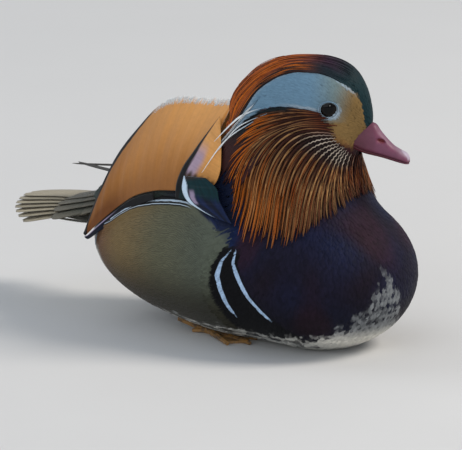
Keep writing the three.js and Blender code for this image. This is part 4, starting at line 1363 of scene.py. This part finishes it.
def wings(side):
    """The tiers of the folded wing's coverts and one long flight feather."""
    made = Coat(named("wing_vanes", side))
    for count, *corners, width, height, inner, outer in WING_TIERS:
        a0, a1, b0, b1 = np.array(corners, float)
        for f in np.arange(count) / (count - 1):
            first, last = a0 + (a1 - a0) * f, b0 + (b1 - b0) * f
            u = np.linspace(0, 1, 5)
            x, angle = (first + (last - first) * u[:, None]).T
            path, n = settle(on_trunk(x, angle, side), height + 0.6 * u ** 1.5)
            rings, along, across = vane(path, n[2], rounded(width, 4), thick=0.35, ridge=0.12, camber=0.12)
            tint = mix(inner, outer, smooth(0.3, 1, along)) * (0.85 + 0.3 * rng.random())
            made.put(rings, along, across, tint)
    path = [on_trunk(-58, 34, side, -1), on_trunk(-86, 22, side, 3.0), np.array([-129.5, side * -2.5, 76.2])]
    rings, along, across = vane(path, UP, rounded(6, 4), thick=0.35, ridge=0.12)
    made.put(rings, along, across, np.broadcast_to(TAIL_DARK * 0.15, rings.shape))
    return made.build(GLOSSY, "wing_feathers", named("wing", side))


SAIL_SHAFT = [
    (-12, -43, 84.5), (-24, -42, 83.3), (-38, -41, 81), (-54, -38.5, 75.5), (-67, -37, 67.5),
    (-79, -38.5, 57.5), (-90, -38, 48),
]
SAIL_RIM = np.array([
    (-4, -15, 131.5), (-26, -11.5, 128.5), (-45, -11, 126.5), (-58, -13.5, 120.5), (-68, -18.5, 108.5),
    (-77, -26, 93), (-83.5, -33.5, 73.5), (-91.5, -38, 49),
])
TERTIAL_REAR = [
    (-21, -44, 80.5), (-21.4, -42.6, 88), (-19.6, -39.6, 96.5), (-15.5, -36.8, 104), (-11.6, -34, 111),
    (-8, -30, 118), (-5.5, -25.5, 124),
]
TERTIAL_FRONT = [
    (-9, -45.5, 80.5), (0, -44.6, 86), (6, -42.6, 92), (8, -41, 99), (7, -39, 107), (3, -34.5, 114.5),
    (-3, -28, 122),
]
SCAPULAR_REAR = [
    (9, -48.4, 75), (-1, -48.2, 77.6), (-9.5, -47.8, 80.8), (-13.9, -47.0, 86.5), (-13.8, -45.6, 93.6),
]
SCAPULAR_FRONT = [
    (22, -48.4, 73), (17, -48.2, 79), (12.5, -47.2, 84), (9.5, -46, 90), (1, -45, 94.5),
]
SAIL_BOW = 0.09
FAR_SAIL_LOWER = 6.0


def lowered(high, at, side):
    """The far sail's rim is lower towards its front; at counts along the places of the rim."""
    if side < 0:
        return high
    return high - np.array([0, 0, FAR_SAIL_LOWER]) * smooth(6.0, 2.5, at)[:, None]


def sheet(low, high, rows, columns, bow, thick, fringe=None):
    """A thin bowed vane between two curves, with rings that run round both of its faces."""
    u = np.linspace(0, 1, rows)[:, None] + np.zeros((1, columns))
    v = np.linspace(0, 1, columns)[None] + np.zeros((rows, 1))
    reach = v if fringe is None else v * (1 + fringe(u) * smooth(0.75, 1.0, v))
    a, b = curve(low, u), curve(high, u)
    p = a + (b - a) * reach[..., None]
    span = np.linalg.norm(b - a, axis=-1)
    p[..., 1] -= bow * span * np.sin(np.pi * v)
    ripples = 0.3 * np.sin(u * 34 + 2.5 * v) + 0.22 * np.sin(u * 71 + 1.3 + 4 * v)
    p[..., 1] -= ripples * np.sin(np.pi * v) ** 0.7 * smooth(0, 0.3, v) * min(1.0, span.max() / 60)
    normal = unit(np.cross(np.gradient(p, axis=0), np.gradient(p, axis=1)))
    normal *= np.sign(-normal[..., 1].mean())
    half = (thick * (1 - 0.5 * v) / 2)[..., None]
    rings = np.concatenate([p + normal * half, (p - normal * half)[:, ::-1][:, 1:-1]], 1)
    return rings, np.concatenate([u, u[:, :-2]], 1), np.concatenate([v, v[:, ::-1][:, 1:-1]], 1)


def put_sheet(made, side, rings, uu, vv, colour):
    """Adds a sheet as built for the right, or its mirror image with the rings turned round."""
    if side > 0:
        rings, uu, vv, colour = (values[:, ::-1] for values in (sided(rings, -1), uu, vv, colour))
    made.put(rings, vv, uu, colour)


def barbs(u, v):
    """Fine light and dark streaks along the barbs of a large vane."""
    return (0.2 * np.sin(u * 41 + 2 * v) + 0.3 * np.sin(u * 97 + 2 + 3 * v) + 0.3 * np.sin(u * 211 + 5 * v)
            + 0.35 * np.sin(u * 367 + 1))


def frayed(u):
    """How far the sail's rim is in or out of its line."""
    rough = 0.01 * np.sin(u * 190) + 0.009 * np.sin(u * 421 + 1) + 0.008 * np.sin(u * 813 + 2)
    return rough * smooth(0.5, 0.36, u)


def sail(side):
    """The raised inner vane of the last tertial, and the smaller tertial and scapular over its front."""
    made = Coat(named("sail_vane", side))
    rim = lowered(SAIL_RIM, np.arange(len(SAIL_RIM)), side)
    rings, uu, vv = sheet(SAIL_SHAFT, rim, 150, 64, SAIL_BOW, 0.7, frayed)
    # Lighter towards the upper front and deeper towards the rear and the shaft: partly the sail's own colour,
    # partly painted light and shade.
    colour = layered(
        SAIL,
        (SAIL_PALE, smooth(0.3, 1.0, vv) * smooth(0.7, 0.1, uu)),
        (SAIL_DEEP, np.clip(smooth(0.45, 0.95, uu) * 0.8 + smooth(0.5, 0.0, vv) * 0.6, 0, 1)))
    from_rim = (1 - vv) * np.linalg.norm(curve(SAIL_RIM, uu) - curve(SAIL_SHAFT, uu), axis=-1)
    put_sheet(made, side, rings, uu, vv, layered(
        colour * (1 + 0.06 * barbs(uu, vv))[..., None],
        (BLACK, smooth(4.4, 3.9, from_rim + 2.4 * smooth(0.75, 0.45, uu)) * smooth(0.42, 0.52, uu)),
        (WHITE, smooth(0.93, 1.0, vv + 0.012 * barbs(uu * 2, vv)) * smooth(0.5, 0.38, uu) * 0.85)))
    rings, uu, vv = sheet(TERTIAL_REAR, TERTIAL_FRONT, 80, 30, 0.03, 0.5)
    wide = vv * 13
    colour = layered(
        SAIL_PALE,
        (SAIL, smooth(0.6, 0.1, uu)),
        (LILAC, smooth(6.8, 4.2, wide) * smooth(0.74, 0.5, uu) * 0.85),
        (TERTIAL_BROWN, smooth(0.36, 0.28, uu + 0.02 * np.sin(wide * 3))),
        (TEAL * 0.5, smooth(0.24, 0.16, uu)))
    colour = colour * (1 + 0.1 * barbs(uu * 0.5, vv))[..., None]
    colour = mix(colour, BLACK, smooth(3.2 - 2.4 * uu, 2.6 - 2.4 * uu, wide))
    put_sheet(made, side, rings, uu, vv, colour)
    rings, uu, vv = sheet(SCAPULAR_REAR, SCAPULAR_FRONT, 70, 30, 0.05, 0.4)
    wide = vv * (14 - 6 * uu)
    colour = layered(
        NAVY,
        (NAVY_DARK, 0.5 + 0.5 * np.sin(wide * 1.3 + uu * 9)),
        (TEAL * 0.8, smooth(0.6, 0.8, uu + 0.02 * wide + 0.03 * np.sin(wide * 5))))
    put_sheet(made, side, rings, uu, vv, layered(
        colour * (1 + 0.3 * barbs(vv * 0.6, uu * 3))[..., None],
        (LILAC * 0.8, smooth(3.9, 3.2, wide) * smooth(0.78, 0.66, uu) * smooth(0.38, 0.48, uu)),
        (NAVY_DARK, smooth(2.2, 2.0, wide) * smooth(0.9, 0.7, uu)),
        (SCAPULAR_BROWN, smooth(0.84, 0.95, uu - 0.012 * wide)),
        (PALE_BLUE, smooth(1.75, 1.5, wide + 1.2 * smooth(0.8, 1.0, uu)))))
    outer = curve(SAIL_SHAFT, np.linspace(0.35, 1, 40))
    deep = (4.2 * np.sin(np.linspace(0.25, 0.93, 40) * np.pi) ** 0.8)[:, None]
    high = outer + np.array([0.4, -0.7, -0.9])
    low = outer + np.array([0.9, -1.0, -1.2]) + deep * np.array([0.25, -0.1, -1])
    low, high = [*low[::6], high[-1]], [*high[::6], high[-1] + np.array([-0.5, 0, 0.6])]
    rings, uu, vv = sheet(low, high, 60, 12, 0.0, 0.45)
    put_sheet(made, side, rings, uu, vv, layered(
        BLACK,
        (NAVY_DARK, smooth(0.3, 0.6, uu)),
        (LILAC, smooth(0.8, 0.9, vv) * smooth(0.45, 0.65, uu))))
    return made.build(SAIL_FEATHER, "sail_feathers", named("sail", side))


def fringe(side):
    """Loose pale barb tips along the upper rim of a sail."""
    coat = Coat(named("sail_fringe", side), BODY_UNWRAP)
    count = 800
    u = rng.random(count) * 0.5
    v = 0.93 + 0.06 * rng.random(count)
    low = curve(SAIL_SHAFT, u)
    high = lowered(curve(SAIL_RIM, u), u * (len(SAIL_RIM) - 1), side)
    way = unit(high - low)
    start = low + (high - low) * v[:, None]
    bow = SAIL_BOW * np.linalg.norm(high - low, axis=1) * np.sin(np.pi * v)
    start[:, 1] -= bow - rng.normal(0, 0.15, count)
    long = (1.1 + 1.7 * rng.random(count)) * smooth(0.5, 0.36, u)
    end = start + (way + rng.normal(0, 0.09, (count, 3))) * long[:, None]
    t = np.linspace(0, 1, 4)
    p = start[:, None] + (end - start)[:, None] * t[None, :, None]
    across = unit(np.cross(way, np.array([0, 1.0, 0.3])))[:, None]
    up = np.cross(across, way[:, None])
    k = np.array([1, 0.8, 0.5, 0.1])[None, :, None] * 0.15
    rings = np.stack([p + across * (a * k) + up * (b * k * 0.7) for a, b in TRIANGLE], 2)
    if side > 0:
        rings = sided(rings, -1)[:, :, ::-1]
        start = sided(start, -1)
    along, across_at = vane_places(rings, t, TRIANGLE)
    coat.add(rings, mix(SAIL_PALE, WHITE * 1.1, smooth(-0.8, 0.2, along)), along, across_at, start)
    return coat.build(SILK, "sail_feathers")


plumes()
tail()
for side in SIDES:
    wings(side)
    sail(side)
    fringe(side)


# Eyes

EYE = eye_material()
LID = lid_material()
EYE_START = 16.0
LID_STEPS, LID_TURNS = 72, 12


def eye_place(r, b, side):
    """Places round the eye's middle, out beside the head."""
    x, z = EYE_LONG * r * np.cos(b), EYE_HIGH * r * np.sin(b)
    return from_head(np.stack([EYE_X + x, EYE_START * side + 0 * x, z], -1))


def eye(side):
    """A wet ball that fills its opening, and a thin pale lid round it.

    Returns a place on the ball and the way that it faces there."""
    rows, columns = 26, 56
    r = np.linspace(0.004, 1.14, rows)[:, None]
    b = np.linspace(0, math.tau, columns, endpoint=False)[None] * side
    front, out = settle(eye_place(r, b, side), 2.0 * np.sqrt(np.clip(1.31 - r * r, 0, 2)) - 1.7 + 0 * b, 4)
    row, column = rows // 2, columns // 5 if side > 0 else columns * 4 // 5
    facing = unit(np.cross(front[row + 1, column] - front[row - 1, column],
                           front[row, column + 1] - front[row, column - 1]))
    facing = facing * np.sign((facing * out[row, column]).sum())
    back = front[::-1] - out[::-1] * np.linspace(0.4, 2.6, rows)[:, None, None]
    ring = np.concatenate([front, back], 0)
    tint = mix(PUPIL, IRIS, smooth(0.5, 0.56, np.concatenate([r, r[::-1]], 0)) + 0 * b)
    make_piece(named("eyeball", side), ring.reshape(-1, 3), *loft_faces(1, 2 * rows, columns), EYE, "eye",
               (named("eye", side),), tint.reshape(-1, 3))
    around = np.linspace(0, math.tau, LID_STEPS, endpoint=False)
    p, out = settle(eye_place(1, around, side), 0.0, 4)
    outward = flat(p - from_head((EYE_X, EYE_START * side, 0)), out)
    angles = np.linspace(0, math.tau, LID_TURNS, endpoint=False)
    rings = np.stack([p + outward * (0.24 + 0.3 * math.cos(c)) + out * (0.02 + 0.26 * math.sin(c))
                      for c in angles], 0)
    inner = 0.5 - 0.5 * np.cos(angles)[:, None] + 0 * around
    tint = layered(
        BAND,
        (BAND_PALE, smooth(0.6, -0.3, np.sin(around)) + 0 * inner),
        (LID_DARK, smooth(0.6, 0.85, inner)))
    index = np.arange(LID_TURNS * LID_STEPS).reshape(LID_TURNS, LID_STEPS)
    below = np.roll(index, -1, 0)
    quads = np.stack([index, np.roll(index, -1, 1), np.roll(below, -1, 1), below], -1).reshape(-1, 4)
    make_piece(named("eyelid", side), rings.reshape(-1, 3), quads[:, ::-side], (), LID, "head_plumage", (),
               tint.reshape(-1, 3))
    return front[row, column], facing


eye(1)
EYE_SPOT, EYE_FACING = eye(-1)


# Bill: X, top, mouth, bottom and half width from root to tip, in the head's frame

BILL = np.array([
    (10, -10.5, -20, -23, 6.6), (17, -9, -23, -25.5, 6.5), (22.6, -9.6, -24.5, -26.7, 6.0),
    (25.4, -13.2, -25.2, -27.3, 5.5), (28.4, -16.8, -26, -28, 5.1), (32.8, -21.2, -27.2, -29.2, 4.8),
    (36.7, -23.5, -28.4, -30.2, 4.6), (39.9, -25.4, -29.5, -30.9, 3.7), (41.6, -27.4, -30.1, -31, 2.0),
])
NOSTRIL_X, NOSTRIL_Z, NOSTRIL_TILT = 26.6, -18.2, 0.35
NAIL_X = 40
HORN = horn_material()


def bill_half(name, points, tint, node):
    points, faces = from_head(points).reshape(-1, 3), loft_faces(1, *points.shape[:2])
    make_piece(name, points, *faces, HORN, "bill", (node,), tint.reshape(-1, 3))


def bill():
    rows, arc = 64, 40
    u = np.linspace(0, 1, rows)[:, None]
    x, top, mouth, bottom, half = (values[:, None] for values in curve(BILL, u[:, 0]).T)
    half = half * np.sqrt(np.clip(1.02 - smooth(0.9, 1.0, u) * 0.75, 0.02, 1))
    a = np.linspace(0, math.pi, arc)[None]
    y = half * (np.sign(np.cos(a)) * np.abs(np.cos(a)) ** 0.75)
    z = mouth + 0.2 + (top - mouth - 0.2) * np.sin(a) ** 0.85
    xs = x + 0 * a
    from_x, from_z = xs - NOSTRIL_X, z - NOSTRIL_Z
    along, over = from_x - NOSTRIL_TILT * from_z, from_z + NOSTRIL_TILT * from_x
    near = np.sqrt((along / 2.6) ** 2 + (over / 1.15) ** 2)
    pit = smooth(1.15, 0.55, near) * smooth(0.8, 2.0, np.abs(y))
    y = y - np.sign(y) * 1.5 * pit
    nail = smooth(2.9, 2.2, np.sqrt(((xs - NAIL_X) / 1.1) ** 2 + y ** 2)) * smooth(-29.5, -28, z)
    z = z + 0.22 * nail
    closing = np.linspace(-1, 1, arc)[None, 1:-1]
    upper = np.stack([np.concatenate([xs, x + 0 * closing], 1), np.concatenate([y, half * closing], 1),
                      np.concatenate([z, mouth + 0.12 + 0 * closing], 1)], -1)
    # rim darkens the bill along the mouth line as painted shade; ridge pales the top as a painted highlight;
    # the pale top towards the tip is partly the bill's own pale tip and partly painted highlight.
    rim = smooth(1.6, 0.3, z - mouth)
    ridge = smooth(0.75, 1.0, np.sin(a)) * smooth(0.15, 0.5, u)
    colour = layered(
        BILL_ROSE,
        (BILL_DARK, 0.8 * smooth(0.42, 0.0, u) * (1 - 0.6 * rim) + 0.55 * rim),
        (BILL_PALE, 0.16 * ridge + 0.55 * smooth(0.6, 0.95, u) * smooth(0.2, 1.0, np.sin(a))),
        (BILL_PALE * 1.1, nail * 0.8),
        (BILL_RED * 0.7, pit))
    below = np.broadcast_to(BILL_DARK * 0.4, (rows, arc - 2, 3))
    bill_half("bill_upper_horn", upper, np.concatenate([colour, below], 1), "bill_upper")
    a = np.linspace(math.pi, math.tau, arc)[None]
    side_y = half * 0.93 * np.sign(np.cos(a)) * np.abs(np.cos(a)) ** 0.8
    deep = mouth - 0.12 - (mouth - bottom) * np.abs(np.sin(a)) ** 0.8
    top_y = half * 0.93 * -closing
    lower = np.stack([x * np.ones((1, arc * 2 - 2)) - 0.4 * u, np.concatenate([side_y, top_y], 1),
                      np.concatenate([deep, mouth - 0.08 + 0 * top_y], 1)], -1)
    tint = mix(BILL_DARK, BILL_ROSE, 0.5 * smooth(0.3, 1, u) + 0 * lower[..., 0])
    bill_half("bill_lower_horn", lower, tint, "bill_lower")


bill()


# Feet: the solids stay, with scaled skin

FOOT = foot_material()
for node in ("foot_left", "foot_right"):
    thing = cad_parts[node]
    thing.data.materials.clear()
    thing.data.materials.append(FOOT)


# Floor, light and camera

bpy.ops.mesh.primitive_plane_add(size=12, location=(0, 0, 0))
ground = bpy.context.object
ground.name = "pale_ground"
ground.data.materials.append(floor_material())

VIEW_TURN, VIEW_RISE = math.radians(40), math.radians(13)
RIGHT = np.array([math.cos(VIEW_TURN), math.sin(VIEW_TURN), 0])
ABOVE = np.array([-math.sin(VIEW_TURN) * math.sin(VIEW_RISE), math.cos(VIEW_TURN) * math.sin(VIEW_RISE),
                  math.cos(VIEW_RISE)])
BACK_WAY = np.cross(RIGHT, ABOVE)
WATER_LEVEL = 30.0
TARGET = WATER_LEVEL * UP - 14.58 * RIGHT + 29.7 * ABOVE
DISTANCE = 9000.0
FRAME_WIDTH = 249.5
SENSOR = 36
camera_data = bpy.data.cameras.new("view")
camera_data.sensor_width = SENSOR
camera_data.lens = SENSOR * DISTANCE / FRAME_WIDTH
camera_data.clip_start = 0.1
camera_data.clip_end = 60


def stand(name, data, at, towards):
    """Puts a camera or light at a place and turns it to look along a direction."""
    thing = bpy.data.objects.new(name, data)
    bpy.context.scene.collection.objects.link(thing)
    thing.location = tuple(at)
    thing.rotation_mode = "QUATERNION"
    thing.rotation_quaternion = Vector(tuple(towards)).to_track_quat("-Z", "Y")
    return thing


bpy.context.scene.camera = stand("view", camera_data, place(TARGET + DISTANCE * BACK_WAY), -BACK_WAY)

GLINT_WAY = 2 * (BACK_WAY * EYE_FACING).sum() * EYE_FACING - BACK_WAY
LAMPS = [
    ("key", (1.6, 1.2, 2.0), 60, 1.0, (1.0, 0.93, 0.84)),
    ("fill", (0.6, -2.4, 1.2), 14, 2.0, (0.88, 0.94, 1.0)),
    ("glint", place(EYE_SPOT) + 2.2 * GLINT_WAY, 3.5, 0.3, (1.0, 0.98, 0.95)),
    ("side", (-2.0, -0.6, 1.4), 12, 1.4, (0.92, 0.96, 1.0)),
]
for name, at, power, size, colour in LAMPS:
    data = bpy.data.lights.new(name, "AREA")
    data.energy = power
    data.size = size
    data.color = colour
    stand(name, data, at, -np.array(at)).visible_camera = False
world = bpy.data.worlds.new("studio")
world.use_nodes = True
world.node_tree.nodes["Background"].inputs["Color"].default_value = (0.78, 0.84, 0.92, 1)
world.node_tree.nodes["Background"].inputs["Strength"].default_value = 0.5
bpy.context.scene.world = world
bpy.context.scene.view_settings.view_transform = "Standard"
